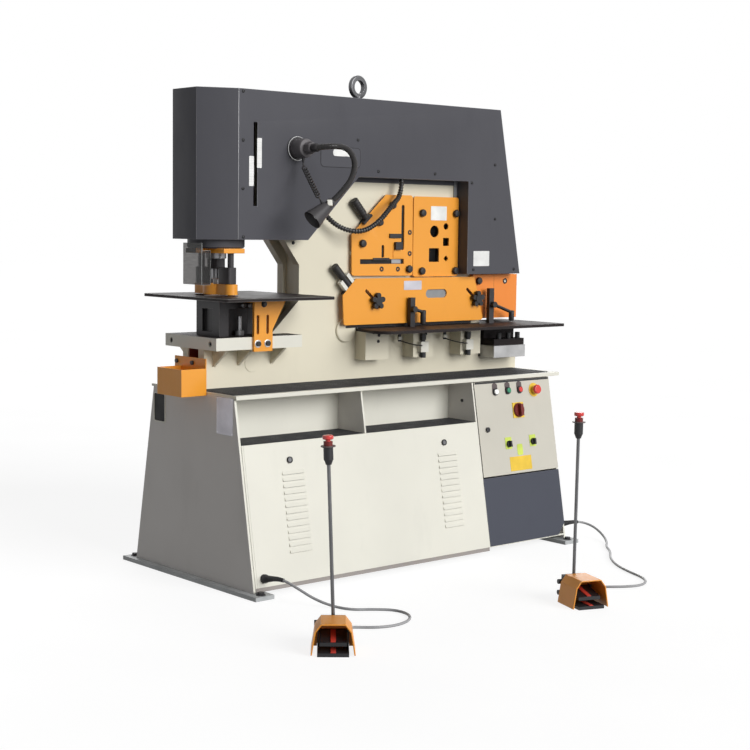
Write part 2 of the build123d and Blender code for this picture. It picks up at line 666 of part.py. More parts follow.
die_seat = BOLSTER_TOP - DIE_SEAT
pocket_top = BOLSTER_TOP - 32
bolster = block(BOLSTER_LEFT, BOLSTER_RIGHT, BOLSTER_FRONT, BOLSTER_BACK, PLATE_TOP, BOLSTER_TOP)
bolster -= block(PUNCH_X - 13, BOLSTER_RIGHT + 1, BOLSTER_FRONT - 1, -20, PLATE_TOP - 1, pocket_top)
bolster -= block(BOLSTER_LEFT - 1, BOLSTER_LEFT + 13, -18, 52, PLATE_TOP + 16, pocket_top)
bolster -= upright(PUNCH_X, FRAME_MID_Y, PLATE_TOP - 1, BOLSTER_TOP + 1, 24)
bolster -= upright(PUNCH_X, FRAME_MID_Y, die_seat, BOLSTER_TOP + 1, DIE_R)
CLAMP_X = -652
CLAMP_Y = -42
clamp_stud = upright(CLAMP_X, CLAMP_Y, PLATE_TOP, PLATE_TOP + 74, 9)
clamp_stud += Pos(CLAMP_X, CLAMP_Y, PLATE_TOP) * extrude(RegularPolygon(19, 6), amount=20)
save("die_bolster", bolster, clamp_stud)

die = upright(PUNCH_X, FRAME_MID_Y, die_seat, TABLE_TOP, DIE_R)
die -= upright(PUNCH_X, FRAME_MID_Y, die_seat - 1, TABLE_TOP + 1, PUNCH_R + 0.4)
blade = block(SLOT_LEFT + 2, SLOT_RIGHT - 2, BLADE_FRONT, BLADE_BACK, FLAT_TOP - BLADE_DEPTH, FLAT_TOP)
section_blade = block(*WINDOW[:2], YF + 6, BLADE_BACK, *WINDOW[2:])
SECTION_HOLES = ((359, 1341, 25), (426, 1363, 14))
SECTION_SQUARES = ((427, 1297, 17, 0), (358, 1241, 29, 0), (429, 1226, 10, 45))


def section_cuts(y0, y1, grow):
    cuts = []
    for x, z, radius in SECTION_HOLES:
        cuts.append(across(x, z, y0, y1, radius + grow))
    for x, z, reach, turn in SECTION_SQUARES:
        side = 2 * (reach + grow)
        cuts.append(Pos(x, (y0 + y1) / 2, z) * Rot(0, turn, 0) * Box(side, y1 - y0, side))
    return cuts


section_blade -= section_cuts(YF, GAP_F + 5, 1)
section_blade -= block(168, 188, YF, GAP_F + 5, 1203, 1452)
section_blade -= block(-56, 188, YF, GAP_F + 5, 1203, 1227)
save("fixed_tools", die, blade, section_blade)

under = TABLE_TOP - TABLE_THICK
punch_table = block(TABLE_LEFT, THROAT_X - 7, TABLE_FRONT, TABLE_BACK, under, TABLE_TOP)
punch_table = fillet(punch_table.edges().filter_by(Axis.Z), 14)
punch_table -= upright(PUNCH_X, FRAME_MID_Y, under - 1, TABLE_TOP + 1, 78)
save("punch_table", punch_table)

ARM_LEFT = -655
ARM_RIGHT = -502
ARM_THICK = 12
brackets = []
shape = [(ARM_LEFT, 878), (-568, 878), (-568, 960), (ARM_RIGHT, under), (ARM_LEFT, under)]
for face, out in ((PLATE_FRONT, -1), (PLATE_BACK, 1)):
    y0, y1 = sorted((face, face + out * ARM_THICK))
    lip = sorted((face, face - out * 60))
    head = sorted((face, face + out * 21))
    arm = profile_xz(shape, y0, y1)
    arm += block(ARM_LEFT, ARM_RIGHT, *lip, under - ARM_THICK, under)
    for x in (ARM_LEFT + 17, ARM_LEFT + 63):
        arm -= slot_xz(x, 950, x, 1012, 6, y0 - 1, y1 + 1)
        arm += across(x, 908, *head, 10)
    brackets.append(arm)
save("table_brackets", *brackets)

BOX_RIGHT = BASE_LEFT - 3
BOX_FRONT = -98
BOX_WALL = 3
slug = block(BOX_RIGHT - 112, BOX_RIGHT, BOX_FRONT, 66, 718, 820)
slug -= block(BOX_RIGHT - 109, BOX_RIGHT - 4, BOX_FRONT + BOX_WALL, 63, 721, 821)
slug += block(BOX_RIGHT - 4, BOX_RIGHT, BOX_FRONT, 110, 808, HANG_Z + 20)
for y in (HANG_FRONT, HANG_BACK):
    slug -= rod((BOX_RIGHT - 6, y, HANG_Z), (BOX_RIGHT + 2, y, HANG_Z), HANG_R + CLEAR)
save("slug_box", slug)

# Shear beam between the frame plates, its cylinder and rod
beam_f = GAP_F + BEAM_CLEAR
beam_r = GAP_R - BEAM_CLEAR
beam_shape = [
    (-185, 880),
    (-45, 880),
    (-45, FLAT_TOP + 15.5),
    (565, FLAT_TOP + 19),
    (565, 1060),
    (838, 1060),
    (838, 1150),
    (700, BEAM_BOSS_Z - 5),
    (540, BEAM_BOSS_Z - 5),
    (500, 1270),
    (485, 1500),
    (-60, 1500),
    (-185, 1080),
]
beam = profile_xz(beam_shape, beam_f, beam_r)
beam += across(SHEAR_X, BEAM_BOSS_Z, beam_f, beam_r, BEAM_BOSS_R)
beam -= across(PIVOT_X, PIVOT_Z, beam_f - 1, beam_r + 1, PIVOT_R + RUNNING_FIT)
beam -= section_cuts(beam_f - 1, beam_r + 1, 3)
beam -= block(164, 192, beam_f - 1, beam_r + 1, 1200, 1455)
beam -= block(-58, 192, beam_f - 1, beam_r + 1, 1200, 1232)
notch_punch = block(745, 835, beam_f, beam_r, 985, 1060)
save("shear_beam", beam, notch_punch)

shear_cylinder = block(540, 695, YF, YR, SHOULDER_Z, SHOULDER_Z + 40)
shear_cylinder += upright(SHEAR_X, FRAME_MID_Y, SHOULDER_Z + 40, 1640, 66)
shear_cylinder -= upright(SHEAR_X, FRAME_MID_Y, SHOULDER_Z - 1, 1600, SHEAR_ROD_R + RUNNING_FIT)
save("shear_cylinder", shear_cylinder)
rod_low = BEAM_BOSS_Z + BEAM_BOSS_R + CLEAR
save("shear_rod", upright(SHEAR_X, FRAME_MID_Y, rod_low, 1590, SHEAR_ROD_R))

# Section shear guards with their hand knobs
TOP_EDGE = ((-99, 1327), (82, 1490))
LOW_EDGE = ((-156, 1081), (-88, 1147))
GUARD_CORNER_R = 12
SCREW_Y = -52
LOW_SCREW_Y = -55
SCREW_R = 7
TAB_THICK = 10


def on_edge(edge, share, y):
    (x0, z0), (x1, z1) = edge
    turn = degrees(atan2(z0 - z1, x1 - x0))
    return Pos(x0 + (x1 - x0) * share, y, z0 + (z1 - z0) * share) * Rot(0, turn, 0)


def hold_screw(reach, root, end, radius):
    grip = upright(0, 0, root, end, radius)
    grip = chamfer(grip.edges().filter_by(GeomType.CIRCLE), 3)
    neck = upright(0, 0, CLEAR, root, 0.75 * radius)
    return grip + neck + upright(0, 0, -reach, CLEAR, SCREW_R)


top_screw = on_edge(TOP_EDGE, 0.396, SCREW_Y)
low_screw = on_edge(LOW_EDGE, 0.573, LOW_SCREW_Y)
screw_bore = upright(0, 0, -TAB_THICK - 1, 1, SCREW_R + CLEAR)
guard_cut = (GUARD_FRONT - 1, GUARD_BACK + 1)
angle_shape = [(-97, 1158), (236, 1155), (232, 1490), TOP_EDGE[1], TOP_EDGE[0]]
guard_a = rounded(profile_xz(angle_shape, GUARD_FRONT, GUARD_BACK), GUARD_CORNER_R)
guard_a -= slot_xz(178, 1270, 178, 1442, 8, *guard_cut)
guard_a -= slot_xz(108, 1320, 162, 1320, 6, *guard_cut)
guard_a -= slot_xz(69, 1238, 69, 1276, 7, *guard_cut)
guard_a -= block(-54, 186, *guard_cut, 1205, 1225)
guard_a += block(130, 166, GUARD_FRONT - 14, GUARD_FRONT, 1264, 1296)
guard_a += top_screw * block(-28, 28, -12, 19, -TAB_THICK, 0)
guard_a -= top_screw * screw_bore
guard_b = profile_xz(rectangle(238, 499, 1150, 1487), GUARD_FRONT, GUARD_BACK)
guard_b = rounded(guard_b, GUARD_CORNER_R)
guard_b -= section_cuts(*guard_cut, 0)
save("section_guards", guard_a, guard_b)

KNOB_TALL = 16
knobs = []
for x, z in ANGLE_KNOBS + BAR_KNOBS + (NOTCH_KNOB,):
    knob = across(x, z, GUARD_FRONT - KNOB_TALL, GUARD_FRONT, 16)
    knobs.append(chamfer(knob.edges().group_by(Axis.Y)[0], 4))
save("guard_knobs", *knobs)
save("holddown_upper", top_screw * hold_screw(TAB_THICK, 20, 99, 17))

# Flat shear guard on slanted slots, clamped by two star knobs
SLOT_RUN = (-51, 42)
flat_cut = (FLAT_GUARD_FRONT - 1, FLAT_GUARD_BACK + 1)
guard_low_z = FLAT_TOP + 15
guard_shape = [LOW_EDGE[0], (-149, guard_low_z), (644, guard_low_z), (586, 1147), LOW_EDGE[1]]
flat_guard = profile_xz(guard_shape, FLAT_GUARD_FRONT, FLAT_GUARD_BACK)
flat_guard = rounded(flat_guard, GUARD_CORNER_R)
for x, z in STARS:
    flat_guard -= slot_xz(x, z, x + SLOT_RUN[0], z + SLOT_RUN[1], STUD_R + 1, *flat_cut)
flat_guard -= slot_xz(318, 1078, 404, 1078, 18, *flat_cut)
tab_front = FLAT_GUARD_FRONT - LOW_SCREW_Y
flat_guard += low_screw * block(-46, 34, tab_front, -tab_front, -TAB_THICK, 0)
flat_guard -= low_screw * screw_bore
for x0, x1 in ((-30, -14), (14, 30)):
    flat_guard += low_screw * block(x0, x1, -10, 10, 0, 44)
save("flat_guard", flat_guard)
save("holddown_lower", low_screw * hold_screw(TAB_THICK, 48, 112, 16))

LOBES = 5
LOBE_AT = 24
LOBE_R = 11
front = FLAT_GUARD_FRONT - CLEAR
for name, (x, z) in zip(("star_knob_left", "star_knob_right"), STARS):
    star = across(x, z, front - 8, front, 13)
    star += across(x, z, front - 24, front - 6, 18)
    for lobe in range(LOBES):
        angle = 2 * pi * lobe / LOBES + pi / 2
        lobe_x = x + LOBE_AT * cos(angle)
        lobe_z = z + LOBE_AT * sin(angle)
        star += across(lobe_x, lobe_z, front - 22, front - 6, LOBE_R)
    star += across(x, z, front, STUD_BACK, STUD_R)
    save(name, star)

# Flat shear table with two stop posts, its supports, and the notcher
flat_table = profile_xy(
    [
        (FLAT_LEFT + 50, YF - 2),
        (FLAT_LEFT, FLAT_FRONT + 80),
        (FLAT_LEFT, FLAT_FRONT),
        (FLAT_RIGHT, FLAT_FRONT),
        (FLAT_RIGHT, FLAT_BACK),
        (NOTCH_RIGHT + 12, FLAT_BACK),
        (NOTCH_RIGHT + 12, YF - 2),
    ],
    FLAT_TOP - FLAT_THICK,
    FLAT_TOP,
)
corner = flat_table.edges().filter_by(Axis.Z).sort_by_distance((FLAT_LEFT, FLAT_FRONT, FLAT_TOP))[0]
flat_table = fillet(corner, 60)
corners = []
for y in (FLAT_FRONT, FLAT_BACK):
    corners.append(flat_table.edges().filter_by(Axis.Z).sort_by_distance((FLAT_RIGHT, y, FLAT_TOP))[0])
flat_table = fillet(corners, 15)
POST_FRONT = -92
PIN_R = 5
LEVERS = (
    ("clamp_lever_left", (203, 1016), (50, -12), (191, 217), 1065),
    ("clamp_lever_right", (674, 1025), (110, -36), (656, 684), 1096),
)
for name, hub, arm, post, top in LEVERS:
    flat_table += block(*post, POST_FRONT, POST_FRONT + 18, FLAT_TOP - 1, top)
    flat_table -= across(*hub, POST_FRONT - 1, POST_FRONT + 12, PIN_R + CLEAR)
save("flat_table", flat_table)
lever_back = POST_FRONT - CLEAR
lever_y = lever_back - 10
for name, hub, arm, post, top in LEVERS:
    lever = across(*hub, lever_back - 18, lever_back, 13)
    lever += across(*hub, lever_back, POST_FRONT + 10, PIN_R)
    tip_x = hub[0] + arm[0]
    tip_z = hub[1] + arm[1]
    lever += rod((hub[0], lever_y, hub[1]), (tip_x, lever_y, tip_z), 7)
    grip = upright(tip_x, lever_y, FLAT_TOP + 8, tip_z + 8, 12)
    save(name, lever + chamfer(grip.edges().filter_by(GeomType.CIRCLE), 3))

supports = []
seat = FLAT_TOP - FLAT_THICK
for x0, x1 in ((-58, 66), (205, 318), (480, 600)):
    supports.append(block(x0, x1, -96, YF, 814, seat))
for x in (250, 514):
    clamp = block(x - 21, x + 21, -120, -96, 836, 880)
    supports.append(clamp + upright(x, -108, 812, 836, 12))
save("table_supports", *supports)

POCKET = (740, 842, beam_f - 3, beam_r + 3)
NOTCH_BASE_TOP = 845
NOTCH_LEDGE_TOP = 873
block_left = NOTCH_LEFT + 8
notch_base = block(NOTCH_LEFT, NOTCH_RIGHT, -120, YR, NOTCH_SEAT, NOTCH_BASE_TOP)
notch_base -= block(*POCKET, NOTCH_SEAT - 1, NOTCH_BASE_TOP + 1)
notch_block = block(block_left, NOTCH_RIGHT, -112, YR, NOTCH_BASE_TOP, NOTCH_LEDGE_TOP)
notch_block += block(block_left, NOTCH_RIGHT, -48, YR, NOTCH_LEDGE_TOP, seat)
notch_block -= block(*POCKET, NOTCH_BASE_TOP - 1, seat + 1)
for x in (712, 771, 829):
    notch_block += upright(x, -98, NOTCH_LEDGE_TOP, NOTCH_LEDGE_TOP + 27, 11)
notch_insert = block(block_left, NOTCH_RIGHT, YF, YR, seat, FLAT_TOP)
notch_insert -= block(*POCKET, seat - 1, FLAT_TOP + 1)
save("notch_die", notch_base, notch_block, notch_insert)

NOTCH_GUARD = (592, 868)
NOTCH_GUARD_LOW = FLAT_TOP + 20
notch_guard_top = LEG_BOTTOM - 4
notch_side = NOTCH_GUARD[1] - 4
notch_guard = block(*NOTCH_GUARD, GUARD_FRONT, GUARD_BACK, NOTCH_GUARD_LOW, notch_guard_top)
notch_guard += block(notch_side, NOTCH_GUARD[1], GUARD_BACK, YR + 30, NOTCH_GUARD_LOW, notch_guard_top)
notch_guard += block(NOTCH_GUARD[0], NOTCH_LEFT - 6, GUARD_BACK, YF, 1100, notch_guard_top)
notch_guard -= across(*STARS[1], *guard_cut, STAR_BOSS_R + 3)
save("notch_guard", notch_guard)

# Work lamp on a gooseneck with a curly lead
lamp_front = -240
lamp = across(LAMP_X, LAMP_Z, CASE_FRONT - 7, CASE_FRONT, 47)
lamp += across(LAMP_X, LAMP_Z, -172, CASE_FRONT - 7, 37)
lamp += across(LAMP_X, LAMP_Z, -205, -172, 24)
lamp += across(LAMP_X, LAMP_Z, lamp_front, -205, 16)
neck_points = [
    (LAMP_X, lamp_front + 4, LAMP_Z),
    (LAMP_X + 8, -300, LAMP_Z + 6),
    (-350, -328, LAMP_Z),
    (-318, -334, 1588),
    (-350, -320, 1505),
    (-405, -290, 1448),
]
neck = FilletPolyline(*neck_points, radius=[30, 40, 55, 70])
lamp += sweep(Plane(origin=neck @ 0, z_dir=neck % 0) * Circle(11.5), path=neck)
head_dir = Vector(-92, 12, -76).normalized()
head_at = Vector(*neck_points[-1])
lamp += rod(tuple(head_at - head_dir * 8), tuple(head_at + head_dir * 24), 17)
lamp += cone(tuple(head_at + head_dir * 24), tuple(head_at + head_dir * 108), 22, 39)
lamp -= cone(tuple(head_at + head_dir * 40), tuple(head_at + head_dir * 109), 20, 35)

CURLS = 13
CURL_R = 7.5
CORD_R = 2.6
GLAND_R = 6
gland_dir = Vector(-0.637, 0, 0.771)
gland_at = head_at + head_dir * 34
cord_top = Vector(LAMP_X, -146, LAMP_Z - 56)
cord_end = gland_at + gland_dir * 36
lamp += rod((LAMP_X, -146, LAMP_Z - 30), tuple(cord_top), GLAND_R)
lamp += rod(tuple(gland_at + gland_dir * 15), tuple(cord_end), GLAND_R)
save("work_lamp", lamp)
down = Vector(0, 0, -1)
lead = 4 * CORD_R
top_turn = cord_top + down * lead
end_turn = cord_end + gland_dir * lead
axis = (end_turn - top_turn).normalized()
across_a = axis.cross(Vector(1, 0, 0)).normalized()
across_b = axis.cross(across_a)
coil_start = top_turn + axis * 14
coil_span = (end_turn - top_turn).length - 28
pitch = coil_span / CURLS


def coil_point(turn):
    angle = 2 * pi * turn
    out = across_a * (CURL_R * cos(angle)) + across_b * (CURL_R * sin(angle))
    return coil_start + axis * (pitch * turn) + out


def coil_tangent(turn):
    angle = 2 * pi * turn
    flat = across_b * (CURL_R * cos(angle)) - across_a * (CURL_R * sin(angle))
    return (flat * (2 * pi) + axis * pitch).normalized()


def biarc(p0, t0, p1, t1):
    gap = p1 - p0
    both = t0 + t1
    a = both.dot(both) - 4
    b = -2 * gap.dot(both)
    c0 = gap.dot(gap)
    reach = (-b - sqrt(b * b - 4 * a * c0)) / (2 * a)
    if reach < 0:
        reach = (-b + sqrt(b * b - 4 * a * c0)) / (2 * a)
    c1 = p0 + t0 * reach
    c2 = p1 - t1 * reach
    joint = (c1 + c2) * 0.5
    first = TangentArc(p0, joint, tangent=t0)
    second = TangentArc(joint, p1, tangent=(c2 - c1).normalized())
    return [first, second]


run = [Line(cord_top, top_turn)]
run += biarc(top_turn, down, coil_point(0.25), coil_tangent(0.25))
turn = 0.25
while turn < CURLS - 0.26:
    run += biarc(coil_point(turn), coil_tangent(turn), coil_point(turn + 0.5), coil_tangent(turn + 0.5))
    turn += 0.5
run += biarc(coil_point(turn), coil_tangent(turn), end_turn, -gland_dir)
run.append(Line(end_turn, cord_end))
print("lamp cord bends", sorted(round(e.radius, 1) for e in run[1:-1])[:4])
coil_path = Wire(run)
cord = sweep(Plane(origin=cord_top, z_dir=down) * Circle(CORD_R), path=coil_path)
print("lamp cord: wire", round(coil_path.length, 1), "mm, gap between turns", round(pitch - 2 * CORD_R, 2))
save("lamp_cord", cord)

# Ribbed conduit from the casing's slanted edge to the underside of its window
edge_dir = Vector(WINDOW_LEFT - CASE_KNEE, 0, WINDOW_TOP - CASE_BOTTOM).normalized()
hose_out = Vector(edge_dir.Z, 0, -edge_dir.X)
hose_start = Vector(CASE_KNEE, -78, CASE_BOTTOM) + edge_dir * 147
hose_points = [
    tuple(hose_start),
    tuple(hose_start + hose_out * 66),
    (-120, -122, 1330),
    (-25, -126, 1372),
    (60, -112, 1444),
    (142, -78, WINDOW_TOP - 66),
    (142, -78, WINDOW_TOP),
]
hose_path = FilletPolyline(*hose_points, radius=[55, 90, 110, 110, 50])
RIBS = 44
hose_length = hose_path.length
end_run = 2 * HOSE_R
rib_pitch = (hose_length - 2 * end_run) / RIBS


def hose_ring(distance, radius):
    at = distance / hose_length
    return Plane(origin=hose_path @ at, x_dir=(0, 1, 0), z_dir=hose_path % at) * Circle(radius)


low_r = HOSE_R - 1.8
rings = [hose_ring(0, low_r)]
for rib in range(RIBS):
    start = end_run + rib * rib_pitch
    for part, radius in ((0, low_r), (0.22, HOSE_R), (0.62, HOSE_R), (0.84, low_r)):
        rings.append(hose_ring(start + part * rib_pitch, radius))
rings.append(hose_ring(hose_length, low_r))
hose = loft(rings, ruled=True)
bore = sweep(Plane(origin=hose_path @ 0, z_dir=hose_path % 0) * Circle(low_r - 2), path=hose_path)
print("conduit:", round(hose_length, 1), "mm")
save("conduit", hose - bore)

# Foot pedals: hood, base with a stalk, treadle, and the emergency button on the stalk
PEDALS = (("left", -1095, -1170, -39, (-15, 13, 690)), ("right", 22, -1267, -20, (8, 2, 696)))


def hood_section(low, inset, shoulder_in, shoulder_down, top_in, top_down):
    right = [
        (PEDAL_HALF - inset, low),
        (PEDAL_HALF - shoulder_in, PEDAL_HEIGHT - shoulder_down),
        (PEDAL_HALF - top_in, PEDAL_HEIGHT - top_down),
    ]
    return right + [(-x, z) for x, z in reversed(right)]


hood_shape = hood_section(3, 0, 12, 26, 32, 0)
hood_hollow = hood_section(2, 4.4, 16, 28, 34, 4)
hoods = []
bases = []
rear_ends = {}
for name, x, y, yaw, (lean_x, lean_y, top) in PEDALS:
    place = Pos(x, y, 0) * Rot(0, 0, yaw)
    hood = profile_xz(hood_shape, 0, PEDAL_DEPTH) - profile_xz(hood_hollow, -1, PEDAL_DEPTH - 4)
    hood -= block(-52, 52, PEDAL_DEPTH - 5, PEDAL_DEPTH + 1, 0, 12)
    hoods.append(place * hood)
    base = block(-51, 51, -6, PEDAL_DEPTH + 34, 0, 12)
    base += block(-40, 40, PEDAL_DEPTH, PEDAL_DEPTH + 34, 11, 96)
    for x0, x1 in ((-51, -46), (46, 51)):
        lug = block(x0, x1, 92, 112, 11, 66)
        base += lug - rod((-60, 102, 56), (60, 102, 56), 4 + RUNNING_FIT)
    for z in (34, 74):
        base += rod((-39, PEDAL_DEPTH + 18, z), (-62, PEDAL_DEPTH + 18, z), 9)
    base = place * base
    foot_at = (place * Pos(0, PEDAL_DEPTH + 14, 90)).position
    head_low = Vector(foot_at.X + lean_x, foot_at.Y + lean_y, top - 96)
    up = (head_low - foot_at).normalized()
    base += rod(tuple(foot_at), tuple(head_low + up * 2), STALK_R)
    boot = cone(tuple(head_low), tuple(head_low + up * 16), 9, 15)
    boot += rod(tuple(head_low + up * 16), tuple(head_low + up * 62), 16)
    boot += rod(tuple(head_low + up * 58), tuple(head_low + up * 62), 24)
    boot += rod(tuple(head_low + up * 62), tuple(head_low + up * 76), 15)
    boot -= rod(tuple(head_low + up * 64), tuple(head_low + up * 80), STEM_R + CLEAR)
    bases.append(base + boot)
    cap = rod(tuple(head_low + up * 82), tuple(head_low + up * 96), 18)
    cap = chamfer(cap.edges().filter_by(GeomType.CIRCLE), 2.5)
    cap += rod(tuple(head_low + up * 70), tuple(head_low + up * 84), STEM_R)
    save("stalk_estop_" + name, cap)
    treadle = profile_yz([(12, 30), (12, 42), (88, 58), (110, 62), (110, 50), (88, 46)], -44, 44)
    treadle += rod((-50, 102, 56), (50, 102, 56), 4)
    save("treadle_" + name, place * treadle)
    rear = place * Pos(0, PEDAL_DEPTH + 34, 26)
    behind = place * Pos(0, PEDAL_DEPTH + 134, 26)
    rear_ends[name] = (rear.position, behind.position - rear.position)
    print("stalk", name, "axis", tuple(round(v, 4) for v in up))
save("pedal_guards", *hoods)
save("pedal_bases", *bases)


def cable(name, points):
    corners = [Vector(*q) for q in points]
    radii = []
    for before, here, after in zip(corners, corners[1:], corners[2:]):
        turn = (here - before).get_angle(after - here) * pi / 180
        shorter = min((here - before).length, (after - here).length)
        radii.append(0.45 * shorter / tan(turn / 2))
    path = FilletPolyline(*corners, radius=radii)
    tube = sweep(Plane(origin=corners[0], z_dir=corners[1] - corners[0]) * Circle(CABLE_R), path=path)
    print(name, "length", round(path.length), "radii", [round(r) for r in radii])
    print(name, "volume share", round(tube.volume / (pi * CABLE_R**2 * path.length), 4))
    save(name, tube)


BOOT = 62
LEFT_EXIT = (-790, 64)
left_face = on_front(*LEFT_EXIT, PANEL_THICK).position
left_tip = on_front(*LEFT_EXIT, PANEL_THICK + BOOT).position
right_face = Vector(BASE_RIGHT, -362, 70)
right_tip = right_face + Vector(BOOT, 0, 0)
boots = []
for face, tip in ((left_face, left_tip), (right_face, right_tip)):
    along = (tip - face).normalized()
    flange_end = tuple(face + along * 14)
    boots.append(rod(tuple(face), flange_end, 17) + cone(flange_end, tuple(tip), 13, 9))
save("cable_boots", *boots)
end, back = rear_ends["left"]
away = back.normalized() * 60
cable(
    "pedal_cable_left",
    [
        tuple(left_tip),
        tuple(left_tip + (left_tip - left_face) * 0.75),
        (-770, -566, 60),
        (-738, -626, 26),
        (-704, -690, 7),
        (-680, -766, 6),
        (-612, -808, 6),
        (-556, -866, 6),
        (-562, -946, 6),
        (-622, -1006, 6),
        (-700, -1024, 6),
        (-770, -1002, 6),
        (-824, -952, 6),
        (-892, -944, 14),
        tuple(end + away),
        tuple(end),
    ],
)
end, back = rear_ends["right"]
away = back.normalized() * 60
cable(
    "pedal_cable_right",
    [
        tuple(right_tip),
        tuple(right_tip + Vector(60, 0, 0)),
        (1012, -408, 52),
        (1004, -478, 22),
        (950, -548, 6),
        (886, -596, 6),
        (822, -676, 6),
        (716, -764, 6),
        (632, -870, 6),
        (580, -980, 6),
        (546, -1076, 6),
        (494, -1138, 6),
        (426, -1158, 6),
        (358, -1128, 6),
        (286, -1072, 6),
        (214, -1032, 6),
        (142, -1024, 12),
        tuple(end + away),
        tuple(end),
    ],
)
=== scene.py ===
import json
import math

import bpy
from bpy.props import FloatProperty, FloatVectorProperty, IntProperty, PointerProperty
from mathutils import Matrix, Vector

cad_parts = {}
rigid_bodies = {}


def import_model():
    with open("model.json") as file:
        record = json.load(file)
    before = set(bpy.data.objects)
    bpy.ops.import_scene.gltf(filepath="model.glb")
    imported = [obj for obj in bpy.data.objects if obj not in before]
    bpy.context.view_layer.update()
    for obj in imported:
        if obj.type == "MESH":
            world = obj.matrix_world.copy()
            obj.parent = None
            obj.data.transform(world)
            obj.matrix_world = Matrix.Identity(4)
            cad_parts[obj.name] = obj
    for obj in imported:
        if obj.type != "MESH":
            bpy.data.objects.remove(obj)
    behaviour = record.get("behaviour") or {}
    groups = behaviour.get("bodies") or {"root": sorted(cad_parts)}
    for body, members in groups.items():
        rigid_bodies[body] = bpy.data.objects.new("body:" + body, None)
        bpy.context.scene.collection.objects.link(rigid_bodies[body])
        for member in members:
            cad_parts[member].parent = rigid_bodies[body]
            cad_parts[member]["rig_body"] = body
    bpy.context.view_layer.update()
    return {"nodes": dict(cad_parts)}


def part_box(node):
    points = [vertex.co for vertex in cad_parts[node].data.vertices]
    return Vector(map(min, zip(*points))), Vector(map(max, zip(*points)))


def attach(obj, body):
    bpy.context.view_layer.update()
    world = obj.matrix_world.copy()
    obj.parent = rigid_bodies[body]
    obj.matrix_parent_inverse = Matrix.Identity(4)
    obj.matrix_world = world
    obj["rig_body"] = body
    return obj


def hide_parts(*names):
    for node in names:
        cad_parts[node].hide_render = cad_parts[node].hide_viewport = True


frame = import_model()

bl_info = {
    "name": "Ironworker Finishes",
    "version": (1, 1, 0),
    "blender": (4, 5, 0),
    "location": "View3D > Sidebar > Ironworker",
    "description": "Finishes, fasteners, cords and a studio for a hydraulic ironworker",
    "category": "Object",
}

NODES = frame["nodes"]
MM = 0.001

# Faces and heights shared with the solids, in millimetres
BASE_LEFT = -840
BASE_HALF_BOTTOM, BASE_HALF_TOP = 400, 271
FOOT_THICK, BASE_TOP = 16, 722
BAY_WALL = 378
SLOPE = math.atan2(BASE_HALF_BOTTOM - BASE_HALF_TOP, BASE_TOP - FOOT_THICK)
CASE_FRONT, CASE_BACK = -105, 188
FRAME_FRONT = -30
GUARD_FACE, FLAT_GUARD_FACE = -50, -66
SUPPORT_FACE = -96
FLAT_UNDERSIDE = 931
DOOR_FACE = 2.7
PUNCH_Y = 41.5
OUTWARD = Vector((0, -math.cos(SLOPE), math.sin(SLOPE)))
UPWARD = Vector((0, math.sin(SLOPE), math.cos(SLOPE)))
FRONT, BACK = Vector((0, -1, 0)), Vector((0, 1, 0))
LEFT, RIGHT = Vector((-1, 0, 0)), Vector((1, 0, 0))
UP, DOWN = Vector((0, 0, 1)), Vector((0, 0, -1))

# A face looks in a direction if the cosine between them is above this
LOOKS = 0.9
# Cover screws: head radius and height
COVER_SCREW = (7, 5)
# Gap between a thin piece and the frame behind it
TRIM_GAP = 0.2
# Smooth shading and eased edges: angles between faces, in degrees
SMOOTH_ANGLE, BEVEL_ANGLE = 19.0, 34.0
# Steps of a rounded corner, and of each stretch of a route
CORNER_STEPS, ROUTE_STEPS = 4, 12
# Corners closer than this, in metres, are one: of turned pieces and of CAD nodes
TURNED_MERGE, NODE_MERGE = 1e-6, 2e-6
# A node's faces that meet at less than this many degrees are one flat face
FLAT_ANGLE = 0.4
# Steel that shows where the paint is rubbed off
BARE_METAL = (0.42, 0.4, 0.38)

# Hold-down screws: a point on the guard's slanted edge and the way out from it
UPPER_SCREW, UPPER_WAY = Vector((-27.3, -52, 1391.5)), Vector((-0.6692, 0, 0.7431))
LOWER_SCREW, LOWER_WAY = Vector((-117.0, -55, 1118.8)), Vector((-0.6965, 0, 0.7176))

# The way the curly lead leaves the lamp's shade
LEAD_WAY = Vector((-0.637, 0, 0.771))

# Each pedal: side, place on the floor, turn in degrees, height of its stalk's button seat
PEDALS = (("left", (-1095, -1170), -39, 594), ("right", (22, -1267), -20, 600))


def paint_colour(name, description, default):
    return FloatVectorProperty(name=name, description=description, subtype="COLOR", size=3, default=default)


def length(name, description, default):
    return FloatProperty(name=name, description=description, unit="LENGTH", default=default)


def angle(name, description, degrees):
    return FloatProperty(name=name, description=description, subtype="ANGLE", default=math.radians(degrees))


class IronworkerColours(bpy.types.PropertyGroup):
    cream: paint_colour("Cream", "Base paint", (0.76, 0.745, 0.66))
    # The door's cream is the base cream darkened: painted shade, for light that falls off across the front
    door_cream: paint_colour("Door cream", "Control door paint", (0.58, 0.555, 0.48))
    frame_cream: paint_colour("Frame cream", "Frame paint", (0.745, 0.695, 0.55))
    charcoal: paint_colour("Charcoal", "Casing paint", (0.071, 0.071, 0.082))
    kick_grey: paint_colour("Kick panel", "Blue-grey kick panel paint", (0.046, 0.051, 0.071))
    orange: paint_colour("Orange", "Guard paint", (0.87, 0.35, 0.032))
    deep_orange: paint_colour("Deep orange", "Notcher guard paint", (0.87, 0.255, 0.03))
    hood_orange: paint_colour("Hood orange", "Pedal hood paint", (0.87, 0.335, 0.036))
    table_black: paint_colour("Table black", "Blackened plate", (0.018, 0.014, 0.014))
    red: paint_colour("Red", "Stop buttons", (0.72, 0.035, 0.028))
    cable_grey: paint_colour("Cable grey", "Pedal cable sheath", (0.36, 0.36, 0.37))


